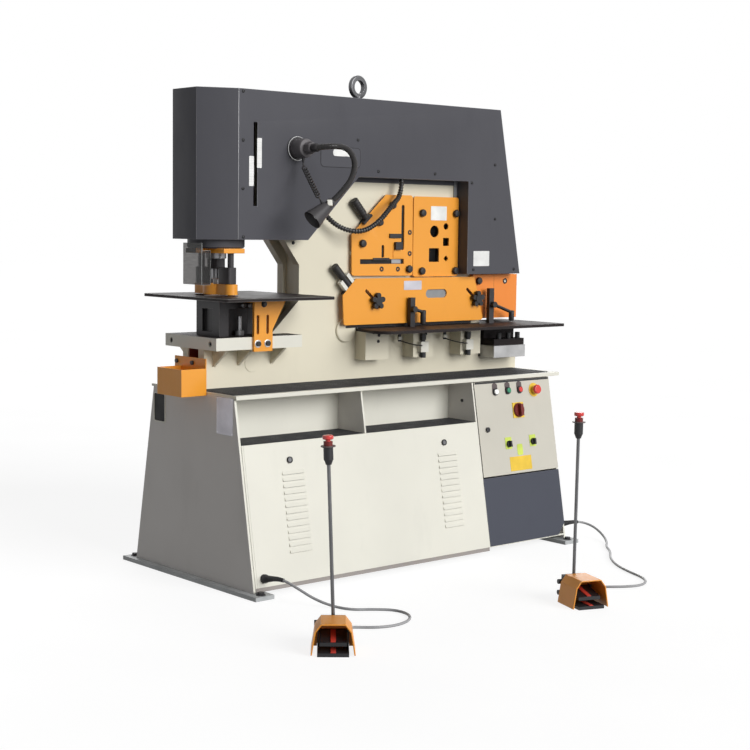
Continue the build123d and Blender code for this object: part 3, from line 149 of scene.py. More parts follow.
class IronworkerSizes(bpy.types.PropertyGroup):
    plate_edge: length("Plate edge", "Eased edge of thick plates", 0.0016)
    sheet_edge: length("Sheet edge", "Eased edge of sheet metal", 0.001)
    casing_edge: length("Casing edge", "Folded edge of the casing", 0.0022)
    casing_screw: length("Casing screw", "Head radius of the casing screws", 0.0065)
    cable_diameter: length("Pedal cable", "Diameter of the pedal cables", 0.01)
    lead_diameter: length("Lamp lead", "Diameter of the curly lamp lead", 0.0052)
    lead_curls: IntProperty(name="Curls", description="Turns of the curly lamp lead", default=13, min=3)
    hose_diameter: length("Conduit", "Outer diameter of the ribbed conduit", 0.021)
    hose_ribs: IntProperty(name="Ribs", description="Ribs of the conduit", default=44, min=10)


class IronworkerStage(bpy.types.PropertyGroup):
    camera_place: FloatVectorProperty(
        name="Camera",
        description="Camera position",
        subtype="TRANSLATION",
        size=3,
        default=(-4.108, -4.834, 1.358),
    )
    camera_pan: angle("Pan", "View direction from +X towards +Y", 49.1083)
    camera_pitch: angle("Pitch", "View direction below the horizon", 5.5323)
    camera_roll: angle("Roll", "Turn about the view direction", -0.755)
    lens: FloatProperty(name="Lens", description="Focal length in millimetres", default=73.498)
    key: FloatProperty(name="Key", description="Strength of the key light", default=2.85)
    rim: FloatProperty(name="Rim", description="Strength of the light from behind", default=0.9)
    ambient: FloatProperty(name="Ambient", description="Strength of the surrounding light", default=0.2)


def mm(x, y, z):
    return Vector((x, y, z)) * MM


def on_front(x, z, depth=0.0):
    """A point on the base's sloped front, depth millimetres out from it."""
    up = (z - FOOT_THICK) / math.cos(SLOPE)
    return (Vector((x, -BASE_HALF_BOTTOM, FOOT_THICK)) + UPWARD * up + OUTWARD * depth) * MM


def front_depth(point):
    """How far a point, in millimetres, lies out from the base's sloped front."""
    return (point - on_front(point.x, FOOT_THICK) / MM).dot(OUTWARD)


def facing(point, normal):
    """The matrix that stands a piece modelled along +Z on a face."""
    return Matrix.Translation(point) @ Vector(normal).to_track_quat("Z", "Y").to_matrix().to_4x4()


def standing(face, x, z):
    """The matrix that stands a piece modelled along +Z on an upright front face."""
    return facing(mm(x, face, z), FRONT)


def laid(point, across=RIGHT, up=UP):
    """The matrix that lays a piece modelled flat, X across and Y up, on a face."""
    turn = Matrix((across, up, across.cross(up))).transposed().to_4x4()
    return Matrix.Translation(point) @ turn


def on_slope(x, z, depth=0.0):
    """The matrix that lays a flat piece on the base's sloped front."""
    return laid(on_front(x, z, depth), RIGHT, UPWARD)


# Materials


def new_finish(name):
    material = bpy.data.materials.new(name)
    material.use_nodes = True
    tree = material.node_tree
    where = tree.nodes.new("ShaderNodeTexCoord").outputs["Object"]
    return material, tree, tree.nodes["Principled BSDF"], where


def stretched(tree, where, scale):
    mapping = tree.nodes.new("ShaderNodeMapping")
    mapping.inputs["Scale"].default_value = scale
    tree.links.new(where, mapping.inputs["Vector"])
    return mapping.outputs["Vector"]


def noise(tree, where, scale, detail=3.0, rough=0.5):
    texture = tree.nodes.new("ShaderNodeTexNoise")
    texture.inputs["Scale"].default_value = scale
    texture.inputs["Detail"].default_value = detail
    texture.inputs["Roughness"].default_value = rough
    tree.links.new(where, texture.inputs["Vector"])
    return texture.outputs["Fac"]


def ramp(tree, factor, low, high, first, second):
    """Blends two colours as the factor goes from low to high."""
    blend = tree.nodes.new("ShaderNodeValToRGB")
    ends = blend.color_ramp.elements
    ends[0].position, ends[1].position = low, high
    ends[0].color, ends[1].color = (*first, 1), (*second, 1)
    tree.links.new(factor, blend.inputs["Fac"])
    return blend.outputs["Color"]


def mixed(tree, factor, first, second):
    blend = tree.nodes.new("ShaderNodeMix")
    blend.data_type = "RGBA"
    tree.links.new(factor, blend.inputs["Factor"])
    for socket, value in ((blend.inputs["A"], first), (blend.inputs["B"], second)):
        if isinstance(value, bpy.types.NodeSocket):
            tree.links.new(value, socket)
        else:
            socket.default_value = (*value, 1)
    return blend.outputs["Result"]


def spread(tree, factor, low, high, out_low, out_high):
    span = tree.nodes.new("ShaderNodeMapRange")
    for key, value in zip(("From Min", "From Max", "To Min", "To Max"), (low, high, out_low, out_high)):
        span.inputs[key].default_value = value
    tree.links.new(factor, span.inputs["Value"])
    return span.outputs["Result"]


def bump(tree, shader, height, strength, distance):
    node = tree.nodes.new("ShaderNodeBump")
    node.inputs["Strength"].default_value = strength
    node.inputs["Distance"].default_value = distance
    tree.links.new(height, node.inputs["Height"])
    tree.links.new(node.outputs["Normal"], shader.inputs["Normal"])


def tint(colour, factor):
    return tuple(min(1.0, c * factor) for c in colour)


def paint(name, colour, rough=(0.34, 0.48), peel=0.12, grime=0.1, texture=420.0, gloss=0.5):
    """Powder coat: slow colour drift, a little grime, orange-peel bump."""
    material, tree, shader, where = new_finish(name)
    drift = noise(tree, where, 2.3, 4.0)
    colours = ramp(tree, drift, 0.3, 0.7, tint(colour, 0.955), tint(colour, 1.03))
    smudge = noise(tree, stretched(tree, where, (1, 1, 0.35)), 9.0, 6.0, 0.65)
    dirt = spread(tree, smudge, 0.56, 0.8, 0.0, grime)
    tree.links.new(mixed(tree, dirt, colours, tint(colour, 0.55)), shader.inputs["Base Color"])
    tree.links.new(spread(tree, smudge, 0.3, 0.7, *rough), shader.inputs["Roughness"])
    shader.inputs["Specular IOR Level"].default_value = gloss
    bump(tree, shader, noise(tree, where, texture, 2.0), peel, 0.0004)
    return material


def worn_edge(name, colour, amount=0.35):
    """The eased edge of a painted piece: paler paint as a painted highlight along the edge, rubbed through
    to bare metal in places.
    """
    material, tree, shader, where = new_finish(name)
    rub = noise(tree, where, 34.0, 6.0, 0.7)
    wear = spread(tree, rub, 0.55, 0.72, 0.0, amount)
    tree.links.new(mixed(tree, wear, tint(colour, 1.12), BARE_METAL), shader.inputs["Base Color"])
    tree.links.new(spread(tree, rub, 0.4, 0.7, 0.4, 0.28), shader.inputs["Roughness"])
    return material


def steel(name, colour, rough=(0.2, 0.38), grain=(1, 1, 60), metal=1.0):
    """Turned or ground steel with fine tool marks."""
    material, tree, shader, where = new_finish(name)
    marks = noise(tree, stretched(tree, where, grain), 26.0, 4.0, 0.6)
    stain = noise(tree, where, 13.0, 4.0)
    stained = ramp(tree, stain, 0.3, 0.75, tint(colour, 0.8), tint(colour, 1.1))
    tree.links.new(stained, shader.inputs["Base Color"])
    tree.links.new(spread(tree, marks, 0.3, 0.7, *rough), shader.inputs["Roughness"])
    shader.inputs["Metallic"].default_value = metal
    bump(tree, shader, marks, 0.08, 0.0003)
    return material


def blackened(name, colour, rough=(0.3, 0.5), gloss=0.3, metal=0.2):
    """Black oxide plate: oily cloudiness and rubbed streaks."""
    material, tree, shader, where = new_finish(name)
    cloud = noise(tree, where, 5.0, 6.0, 0.6)
    streak = noise(tree, stretched(tree, where, (14, 1.2, 14)), 6.0, 4.0)
    body = ramp(tree, cloud, 0.3, 0.75, tint(colour, 0.8), tint(colour, 1.6))
    rubbed = spread(tree, streak, 0.6, 0.8, 0.0, 0.3)
    tree.links.new(mixed(tree, rubbed, body, tint(colour, 3.0)), shader.inputs["Base Color"])
    tree.links.new(spread(tree, cloud, 0.3, 0.7, *rough), shader.inputs["Roughness"])
    shader.inputs["Metallic"].default_value = metal
    shader.inputs["Specular IOR Level"].default_value = gloss
    bump(tree, shader, noise(tree, where, 300.0, 2.0), 0.06, 0.0003)
    return material


def moulded(name, colour, rough=(0.34, 0.5), grain=700.0, depth=0.1):
    """Moulded plastic or rubber with a fine mould texture."""
    material, tree, shader, where = new_finish(name)
    drift = noise(tree, where, 16.0, 4.0)
    clouded = ramp(tree, drift, 0.3, 0.7, tint(colour, 0.88), tint(colour, 1.12))
    tree.links.new(clouded, shader.inputs["Base Color"])
    tree.links.new(spread(tree, drift, 0.3, 0.7, *rough), shader.inputs["Roughness"])
    shader.inputs["Specular IOR Level"].default_value = 0.35
    bump(tree, shader, noise(tree, where, grain, 2.0), depth, 0.0003)
    return material


def glossy_cap(name, colour, glow=0.0):
    """Lens or button cap in clear-coloured plastic."""
    material, tree, shader, where = new_finish(name)
    drift = noise(tree, where, 60.0, 2.0)
    clouded = ramp(tree, drift, 0.3, 0.7, tint(colour, 0.9), tint(colour, 1.1))
    tree.links.new(clouded, shader.inputs["Base Color"])
    tree.links.new(spread(tree, drift, 0.3, 0.7, 0.16, 0.26), shader.inputs["Roughness"])
    shader.inputs["Coat Weight"].default_value = 0.3
    shader.inputs["Emission Color"].default_value = (*colour, 1)
    shader.inputs["Emission Strength"].default_value = glow
    return material


def clear_sheet(name):
    """Smoke-tinted polycarbonate with wipe marks."""
    material, tree, shader, where = new_finish(name)
    wipes = noise(tree, stretched(tree, where, (3, 3, 22)), 9.0, 5.0)
    smoke = ramp(tree, wipes, 0.3, 0.7, (0.13, 0.125, 0.125), (0.2, 0.195, 0.19))
    tree.links.new(smoke, shader.inputs["Base Color"])
    tree.links.new(spread(tree, wipes, 0.4, 0.7, 0.04, 0.16), shader.inputs["Roughness"])
    shader.inputs["Transmission Weight"].default_value = 0.9
    shader.inputs["IOR"].default_value = 1.3
    return material


def scale_face(name):
    """White scale strip with faint graduations."""
    material, tree, shader, where = new_finish(name)
    wave = tree.nodes.new("ShaderNodeTexWave")
    wave.bands_direction = "Z"
    wave.inputs["Scale"].default_value = 31.4
    tree.links.new(where, wave.inputs["Vector"])
    ticks = spread(tree, wave.outputs["Fac"], 0.06, 0.1, 0.15, 0.0)
    dust = noise(tree, where, 40.0, 3.0)
    ground = ramp(tree, dust, 0.3, 0.7, (0.8, 0.8, 0.78), (0.88, 0.88, 0.87))
    tree.links.new(mixed(tree, ticks, ground, (0.3, 0.3, 0.3)), shader.inputs["Base Color"])
    tree.links.new(spread(tree, dust, 0.3, 0.7, 0.35, 0.5), shader.inputs["Roughness"])
    return material


FINISH = {}


def make_finishes(colours):
    """Fills FINISH with the materials of this machine."""
    paints = ("cream", "door_cream", "frame_cream", "orange", "deep_orange", "hood_orange")
    for key in paints:
        colour = tuple(getattr(colours, key))
        FINISH[key] = paint(key + "_paint", colour, (0.32, 0.46), 0.1, 0.09)
        # Every painted edge is paler than its paint: a painted highlight, with real wear rubbed through in
        # places
        FINISH[key + "_edge"] = worn_edge(key + "_edge", colour, amount=0.16)
    charcoal, black = tuple(colours.charcoal), tuple(colours.table_black)
    made = {
        "charcoal": paint("charcoal_paint", charcoal, (0.45, 0.6), 0.2, 0.06, 520.0, 0.22),
        # The casing's edges are half as light again as its paint: painted highlight along them
        "charcoal_edge": worn_edge("charcoal_edge", tint(charcoal, 1.5)),
        # Greyer, darker cream for the base's left-facing ends: painted shade
        "end_cream": paint("end_paint", (0.7, 0.672, 0.645), (0.36, 0.5)),
        # Dark grey-brown for the strip below the front panel: painted shadow
        "toe": paint("toe_paint", (0.3, 0.27, 0.25), (0.45, 0.6)),
        "kick": paint("kick_paint", tuple(colours.kick_grey), (0.4, 0.52), gloss=0.3),
        "chute_red": paint("chute_paint", (0.17, 0.02, 0.018), (0.4, 0.55)),
        "black": blackened("black_plate", black, (0.52, 0.7), 0.14, 0.0),
        # Black-plate edges far lighter than the plate: painted highlight, with real rubbed wear to bare
        # metal
        "black_edge": worn_edge("black_edge", (0.1, 0.095, 0.09), amount=0.5),
        "tool": blackened("tool_steel", (0.029, 0.027, 0.029), (0.32, 0.5)),
        "bright": steel("bright_steel", (0.62, 0.62, 0.62)),
        "ground": steel("ground_steel", (0.42, 0.42, 0.42), (0.3, 0.46), (1, 40, 1)),
        "stalk": steel("stalk_steel", (0.3, 0.3, 0.31), (0.3, 0.46), (1, 1, 8)),
        "dark_steel": steel("dark_steel", (0.13, 0.13, 0.135), (0.32, 0.48), (1, 1, 8)),
        "galvanised": steel("galvanised", (0.47, 0.485, 0.49), (0.5, 0.65), (1, 1, 1), 0.1),
        "zinc": steel("zinc_plate", (0.56, 0.57, 0.58), (0.26, 0.42), (1, 1, 1)),
        "plate_silver": steel("plate_silver", (0.6, 0.585, 0.64), (0.34, 0.46), (40, 1, 1), 0.3),
        "plastic": moulded("black_plastic", (0.016, 0.016, 0.018)),
        "rubber": moulded("black_rubber", (0.022, 0.022, 0.024), (0.55, 0.75), 260.0, 0.25),
        "grip_black": moulded("grip_black", (0.022, 0.02, 0.02), (0.42, 0.56), 400.0, 0.16),
        "lamp_black": moulded("lamp_black", (0.045, 0.042, 0.044), (0.4, 0.54), 400.0, 0.12),
        # A lighter copy of the lamp's black for its foot and nut: painted light on their shaded side
        "lamp_grey": moulded("lamp_grey", (0.12, 0.112, 0.118), (0.4, 0.54), 400.0, 0.12),
        "hose": moulded("hose_black", (0.03, 0.028, 0.028), (0.18, 0.3), 400.0, 0.05),
        "shadow": moulded("shadow_black", (0.012, 0.012, 0.013), (0.7, 0.85)),
        "off_white": moulded("off_white_nylon", (0.8, 0.78, 0.7), (0.4, 0.55)),
        "plate_white": moulded("plate_white", (0.84, 0.84, 0.82), (0.34, 0.46), 300.0, 0.03),
        "red": glossy_cap("red_cap", tuple(colours.red)),
        "red_strip": moulded("red_strip", (0.62, 0.06, 0.04), (0.35, 0.5)),
        "dark_red": moulded("dark_red_handle", (0.15, 0.012, 0.01), (0.3, 0.42)),
        "green": glossy_cap("green_cap", (0.02, 0.26, 0.13)),
        "white_lens": glossy_cap("white_lens", (0.9, 0.9, 0.88), 0.15),
        "yellow": moulded("yellow_plate", (0.82, 0.55, 0.05), (0.36, 0.5)),
        "lime": moulded("lime_plate", (0.6, 0.72, 0.12), (0.36, 0.5)),
        "legend": moulded("legend_plate", (0.1, 0.075, 0.075), (0.3, 0.42)),
        "clear": clear_sheet("clear_guard_sheet"),
        # Pale edges of the clear guard: a painted highlight along the sheet's edges
        "clear_edge": glossy_cap("clear_guard_edge", (0.7, 0.72, 0.72)),
        "cable": moulded("cable_sheath", tuple(colours.cable_grey), (0.36, 0.5), 500.0, 0.06),
        "scale": scale_face("scale_face"),
        "tank": paint("tank_paint", (0.2, 0.22, 0.24), (0.4, 0.55)),
        "motor": paint("motor_paint", (0.09, 0.13, 0.2), (0.4, 0.55)),
        "switchgear": moulded("switchgear_grey", (0.26, 0.27, 0.28), (0.45, 0.6)),
    }
    FINISH.update(made)


# Modelling helpers, in millimetres


def deselect():
    if bpy.context.mode != "OBJECT":
        bpy.ops.object.mode_set(mode="OBJECT")
    bpy.ops.object.select_all(action="DESELECT")


def pick(*pieces):
    """Selects just these pieces, the first one active."""
    deselect()
    for piece in pieces:
        piece.select_set(True)
    bpy.context.view_layer.objects.active = pieces[0]


def edit_all():
    bpy.ops.object.mode_set(mode="EDIT")
    bpy.ops.mesh.select_all(action="SELECT")


def select_parts(piece, kind, test):
    """Goes into edit mode with just the faces, edges or vertices that pass the test selected."""
    pick(piece)
    edit_all()
    bpy.ops.mesh.select_mode(type=kind)
    bpy.ops.mesh.select_all(action="DESELECT")
    bpy.ops.object.mode_set(mode="OBJECT")
    mesh = piece.data
    for part in {"FACE": mesh.polygons, "EDGE": mesh.edges, "VERT": mesh.vertices}[kind]:
        part.select = test(part)
    bpy.ops.object.mode_set(mode="EDIT")


def draw_out(step):
    bpy.ops.mesh.extrude_region_move(TRANSFORM_OT_translate={"value": step})


def face_outwards():
    """Turns all faces of the piece in edit mode outwards, and leaves edit mode."""
    bpy.ops.mesh.select_all(action="SELECT")
    bpy.ops.mesh.normals_make_consistent(inside=False)
    deselect()


def settle(name):
    """Names the active piece and puts its place into its mesh."""
    piece = bpy.context.object
    piece.name = name
    piece.data.name = name
    bpy.ops.object.transform_apply(location=True, rotation=True, scale=True)
    return piece


def apply_bevel(piece, width, segments=2, material=-1):
    pick(piece)
    modifier = piece.modifiers.new("edges", "BEVEL")
    modifier.width = width * MM
    modifier.segments = segments
    modifier.limit_method = "ANGLE"
    modifier.angle_limit = math.radians(BEVEL_ANGLE)
    modifier.material = material
    bpy.ops.object.modifier_apply(modifier=modifier.name)


def round_corners(piece, way, radius):
    """Rounds the edges that run along one direction."""
    corners = piece.data.vertices

    def along(edge):
        run = corners[edge.vertices[1]].co - corners[edge.vertices[0]].co
        return abs(run.normalized().dot(way)) > LOOKS

    select_parts(piece, "EDGE", along)
    bpy.ops.mesh.bevel(offset=radius * MM, segments=CORNER_STEPS, affect="EDGES")
    deselect()


def smooth(piece, limit):
    pick(piece)
    bpy.ops.object.shade_smooth_by_angle(angle=math.radians(limit))


def coat(piece, *finishes):
    if len(piece.data.materials):
        piece.data.materials.clear()
    for finish_name in finishes:
        piece.data.materials.append(FINISH[finish_name])


def cut(piece, tool):
    """Subtracts a tool piece and removes it."""
    pick(piece)
    modifier = piece.modifiers.new("cut", "BOOLEAN")
    modifier.operation = "DIFFERENCE"
    modifier.object = tool
    bpy.ops.object.modifier_apply(modifier=modifier.name)
    bpy.data.objects.remove(tool)


def slab(name, low, high):
    """A box between two corners."""
    deselect()
    low, high = mm(*low), mm(*high)
    bpy.ops.mesh.primitive_cube_add(size=1, location=(low + high) / 2, scale=high - low)
    return settle(name)


def turned(name, profile, sides=32):
    """A turned piece along +Z: rings of (height, radius), drawn out by extruding and scaling."""
    deselect()
    height, radius = profile[0]
    bpy.ops.mesh.primitive_circle_add(
        vertices=sides, radius=radius * MM, fill_type="NGON", location=(0, 0, height * MM)
    )
    piece = settle(name)
    edit_all()
    for next_height, next_radius in profile[1:]:
        draw_out((0, 0, (next_height - height) * MM))
        share = next_radius / radius
        bpy.ops.transform.resize(value=(share, share, 1), center_override=(0, 0, next_height * MM))
        height, radius = next_height, next_radius
    bpy.ops.mesh.select_all(action="SELECT")
    bpy.ops.mesh.remove_doubles(threshold=TURNED_MERGE)
    face_outwards()
    return piece


def flat_plate(name, width, height, thick, corner):
    """A plate with round corners that lies on z = 0, centred."""
    deselect()
    bpy.ops.mesh.primitive_plane_add(size=1)
    bpy.ops.transform.resize(value=(width * MM, height * MM, 1))
    piece = settle(name)
    edit_all()
    bpy.ops.mesh.bevel(offset=corner * MM, segments=CORNER_STEPS, affect="VERTICES")
    bpy.ops.mesh.select_all(action="SELECT")
    draw_out(mm(0, 0, thick))
    face_outwards()
    return piece


def copies(template, name, places):
    """Copies of a template at each matrix, joined into one piece; the template goes."""
    made = []
    for place in places:
        one = bpy.data.objects.new(name, template.data.copy())
        one.data.transform(place)
        bpy.context.scene.collection.objects.link(one)
        made.append(one)
    bpy.data.objects.remove(template)
    pick(*made)
    if len(made) > 1:
        bpy.ops.object.join()
    made[0].name = name
    made[0].data.name = name
    return made[0]


def placed(piece, place):
    piece.data.transform(place)
    return piece


def finish(piece, body, *finishes, limit=SMOOTH_ANGLE):
    """Smooths a modelled piece, coats it unless it has its finishes, and lets it ride on its body."""
    if finishes:
        coat(piece, *finishes)
    smooth(piece, limit)
    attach(piece, body)
    return piece


def recolour(piece, slot, test):
    """Gives a finish slot to the faces that pass a test of their centre, in millimetres, and normal."""
    for face in piece.data.polygons:
        if test(face.center / MM, face.normal):
            face.material_index = slot


def block(name, low, high, coating, body="machine", edge=0.8):
    """A box between two corners with eased edges."""
    piece = slab(name, low, high)
    apply_bevel(piece, edge)
    finish(piece, body, coating)


def eased_plate(name, size, thick, corner):
    piece = flat_plate(name, *size, thick, corner)
    apply_bevel(piece, 0.3, 1)
    return piece


def thin_plate(name, place, size, coating, body="machine", corner=3.0, thick=1.0):
    """A plate with round corners on a face; size is its width and height."""
    finish(placed(eased_plate(name, size, thick, corner), place), body, coating)


def upright_plate(name, outline, front, back, coating):
    """A plate with these (x, z) corners, drawn out from front to back."""
    deselect()
    bpy.ops.mesh.primitive_circle_add(vertices=len(outline), radius=1, fill_type="NGON")
    piece = settle(name)
    for vertex, (x, z) in zip(piece.data.vertices, outline):
        vertex.co = mm(x, front, z)
    edit_all()
    draw_out(mm(0, back - front, 0))
    face_outwards()
    apply_bevel(piece, 0.4, 1)
    finish(piece, "machine", coating)


def turned_on(name, place, profile, coating, body="machine", sides=32, limit=SMOOTH_ANGLE):
    """A turned piece on a face."""
    return finish(placed(turned(name, profile, sides), place), body, coating, limit=limit)


def mark_solids(mesh):
    """Numbers the closed solids among a node's triangles as material indices, and counts them."""
    spots = [tuple(round(c, 6) for c in vertex.co) for vertex in mesh.vertices]
    open_edges = {}
    solid = 0
    for face in mesh.polygons:
        face.material_index = solid
        corners = [spots[index] for index in face.vertices]
        for a, b in zip(corners, corners[1:] + corners[:1]):
            if (b, a) in open_edges:
                open_edges[b, a] -= 1
                if not open_edges[b, a]:
                    del open_edges[b, a]
            else:
                open_edges[a, b] = open_edges.get((a, b), 0) + 1
        if not open_edges:
            solid += 1
    return solid


def merged_copy(node, name):
    """A copy of a CAD node whose solids are each merged by themselves into flat faces."""
    deselect()
    piece = bpy.data.objects.new(name, NODES[node].data.copy())
    bpy.context.scene.collection.objects.link(piece)
    pick(piece)
    bpy.ops.mesh.customdata_custom_splitnormals_clear()
    for solid in range(mark_solids(piece.data)):
        select_parts(piece, "FACE", lambda face: face.material_index == solid)
        bpy.ops.mesh.remove_doubles(threshold=NODE_MERGE)
        bpy.ops.mesh.dissolve_limited(angle_limit=math.radians(FLAT_ANGLE))
        deselect()
    piece.data.polygons.foreach_set("material_index", [0] * len(piece.data.polygons))
    return piece


def dress(node, main, edge=None, width=0.0, regions=()):
    """A copy of a CAD node with eased edges stands for it.

    A region is a finish and the test, of a face's centre and normal, that says which faces have it.
    """
    piece = merged_copy(node, node + "_finish")
    coat(piece, main, edge or main, *[region[0] for region in regions])
    if width:
        apply_bevel(piece, width, material=1)
    for slot, (_, test) in enumerate(regions, start=2):
        recolour(piece, slot, test)
    finish(piece, NODES[node]["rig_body"])
    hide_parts(node)


def near(x, z, reach):
    """Faces whose centre lies within reach of (x, z)."""
    return lambda c, n: abs(c.x - x) < reach and abs(c.z - z) < reach


def sunk(c, n):
    """The floor of a sunk middle, less than a millimetre up."""
    return n.z > LOOKS and c.z < 1


def socket_screw(name, radius, height):
    """A button-head screw with a hexagon socket, standing on z = 0."""
    rings = ((-0.2, 1), (0.45, 1), (0.85, 0.82), (1, 0.5))
    head = turned(name, [(rise * height, share * radius) for rise, share in rings], 20)
    cut(head, turned("socket", [(0.45 * height, 0.42 * radius), (1.5 * height, 0.42 * radius)], 6))
    return head


def hex_bolt(name, radius, height, washer):
    """A hexagon head on a washer, standing on z = 0."""
    seat = 0.2 * height
    head = turned(name, [(seat, radius), (0.88 * height, radius), (height, 0.85 * radius)], 6)
    disc = turned("washer", [(-0.4, washer), (0.8 * seat, washer), (seat, 0.95 * washer)], 24)
    pick(head, disc)
    bpy.ops.object.join()
    return head


def button_ring(name, outer, inner):
    """A raised ring round a flat middle; the middle is the second finish."""
    rings = [(0, outer), (1.6, outer), (2.2, outer - 0.9), (2.2, inner + 1), (0.7, inner)]
    ring = turned(name, rings)
    recolour(ring, 1, sunk)
    return ring


def route(name, points):
    """A quadratic NURBS line whose control points are the route's points."""
    curve = bpy.data.curves.new(name, "CURVE")
    curve.dimensions = "3D"
    spline = curve.splines.new("NURBS")
    spline.points.add(len(points) - 1)
    for point, place in zip(spline.points, points):
        point.co = (*place, 1)
    spline.order_u = 3
    spline.use_endpoint_u = True
    curve.resolution_u = ROUTE_STEPS
    piece = bpy.data.objects.new(name, curve)
    bpy.context.scene.collection.objects.link(piece)
    return piece


def sheathe(line, diameter, roundness, coating):
    """Gives a cord's line its thickness, closed ends and finish."""
    line.data.bevel_depth = diameter / 2
    line.data.bevel_resolution = roundness
    line.data.use_fill_caps = True
    line.data.materials.append(FINISH[coating])
    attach(line, "machine")


def line_points(points):
    """The points of a route's smooth line."""
    line = route("guide_line", points)
    bpy.context.view_layer.update()
    mesh = bpy.data.meshes.new_from_object(line)
    found = [v.co.copy() for v in mesh.vertices]
    bpy.data.meshes.remove(mesh)
    bpy.data.objects.remove(line)
    return found


def even_points(points, count):
    """Points spaced evenly along a line, with the line's directions there."""
    lengths = [0.0]
    for a, b in zip(points, points[1:]):
        lengths.append(lengths[-1] + (b - a).length)
    spot, found = 0, []
    for index in range(count):
        goal = lengths[-1] * index / (count - 1)
        while spot < len(points) - 2 and lengths[spot + 1] < goal:
            spot += 1
        share = (goal - lengths[spot]) / max(lengths[spot + 1] - lengths[spot], 1e-9)
        way = (points[spot + 1] - points[spot]).normalized()
        found.append((points[spot].lerp(points[spot + 1], share), way))
    return found


def carried_frames(stations):
    """Two sideways directions at each station, carried along without twist."""
    side = stations[0][1].orthogonal().normalized()
    frames = []
    for _, direction in stations:
        side = (side - direction * side.dot(direction)).normalized()
        frames.append((side, direction.cross(side)))
    return frames


def ribbed_tube(name, points, rings, sides=14):
    """A tube along a line: rings holds a radius in metres for each evenly spaced station."""
    stations = even_points(points, len(rings))
    vertices, faces = [], []
    for (centre, _), (a, b), radius in zip(stations, carried_frames(stations), rings):
        for step in range(sides):
            turn = 2 * math.pi * step / sides
            vertices.append(tuple(centre + (a * math.cos(turn) + b * math.sin(turn)) * radius))
    for ring in range(len(rings) - 1):
        for step in range(sides):
            one, two = ring * sides + step, ring * sides + (step + 1) % sides
            faces.append((one, two, two + sides, one + sides))
    faces.append(tuple(range(sides))[::-1])
    faces.append(tuple(range((len(rings) - 1) * sides, len(rings) * sides)))
    mesh = bpy.data.meshes.new(name)
    mesh.from_pydata(vertices, [], faces)
    piece = bpy.data.objects.new(name, mesh)
    bpy.context.scene.collection.objects.link(piece)
    return piece


# Operators


def sheet_edge(context):
    """The eased edge of sheet metal, in millimetres."""
    return context.scene.ironworker_sizes.sheet_edge / MM


def plate_edge(context):
    """The eased edge of thick plates, in millimetres."""
    return context.scene.ironworker_sizes.plate_edge / MM


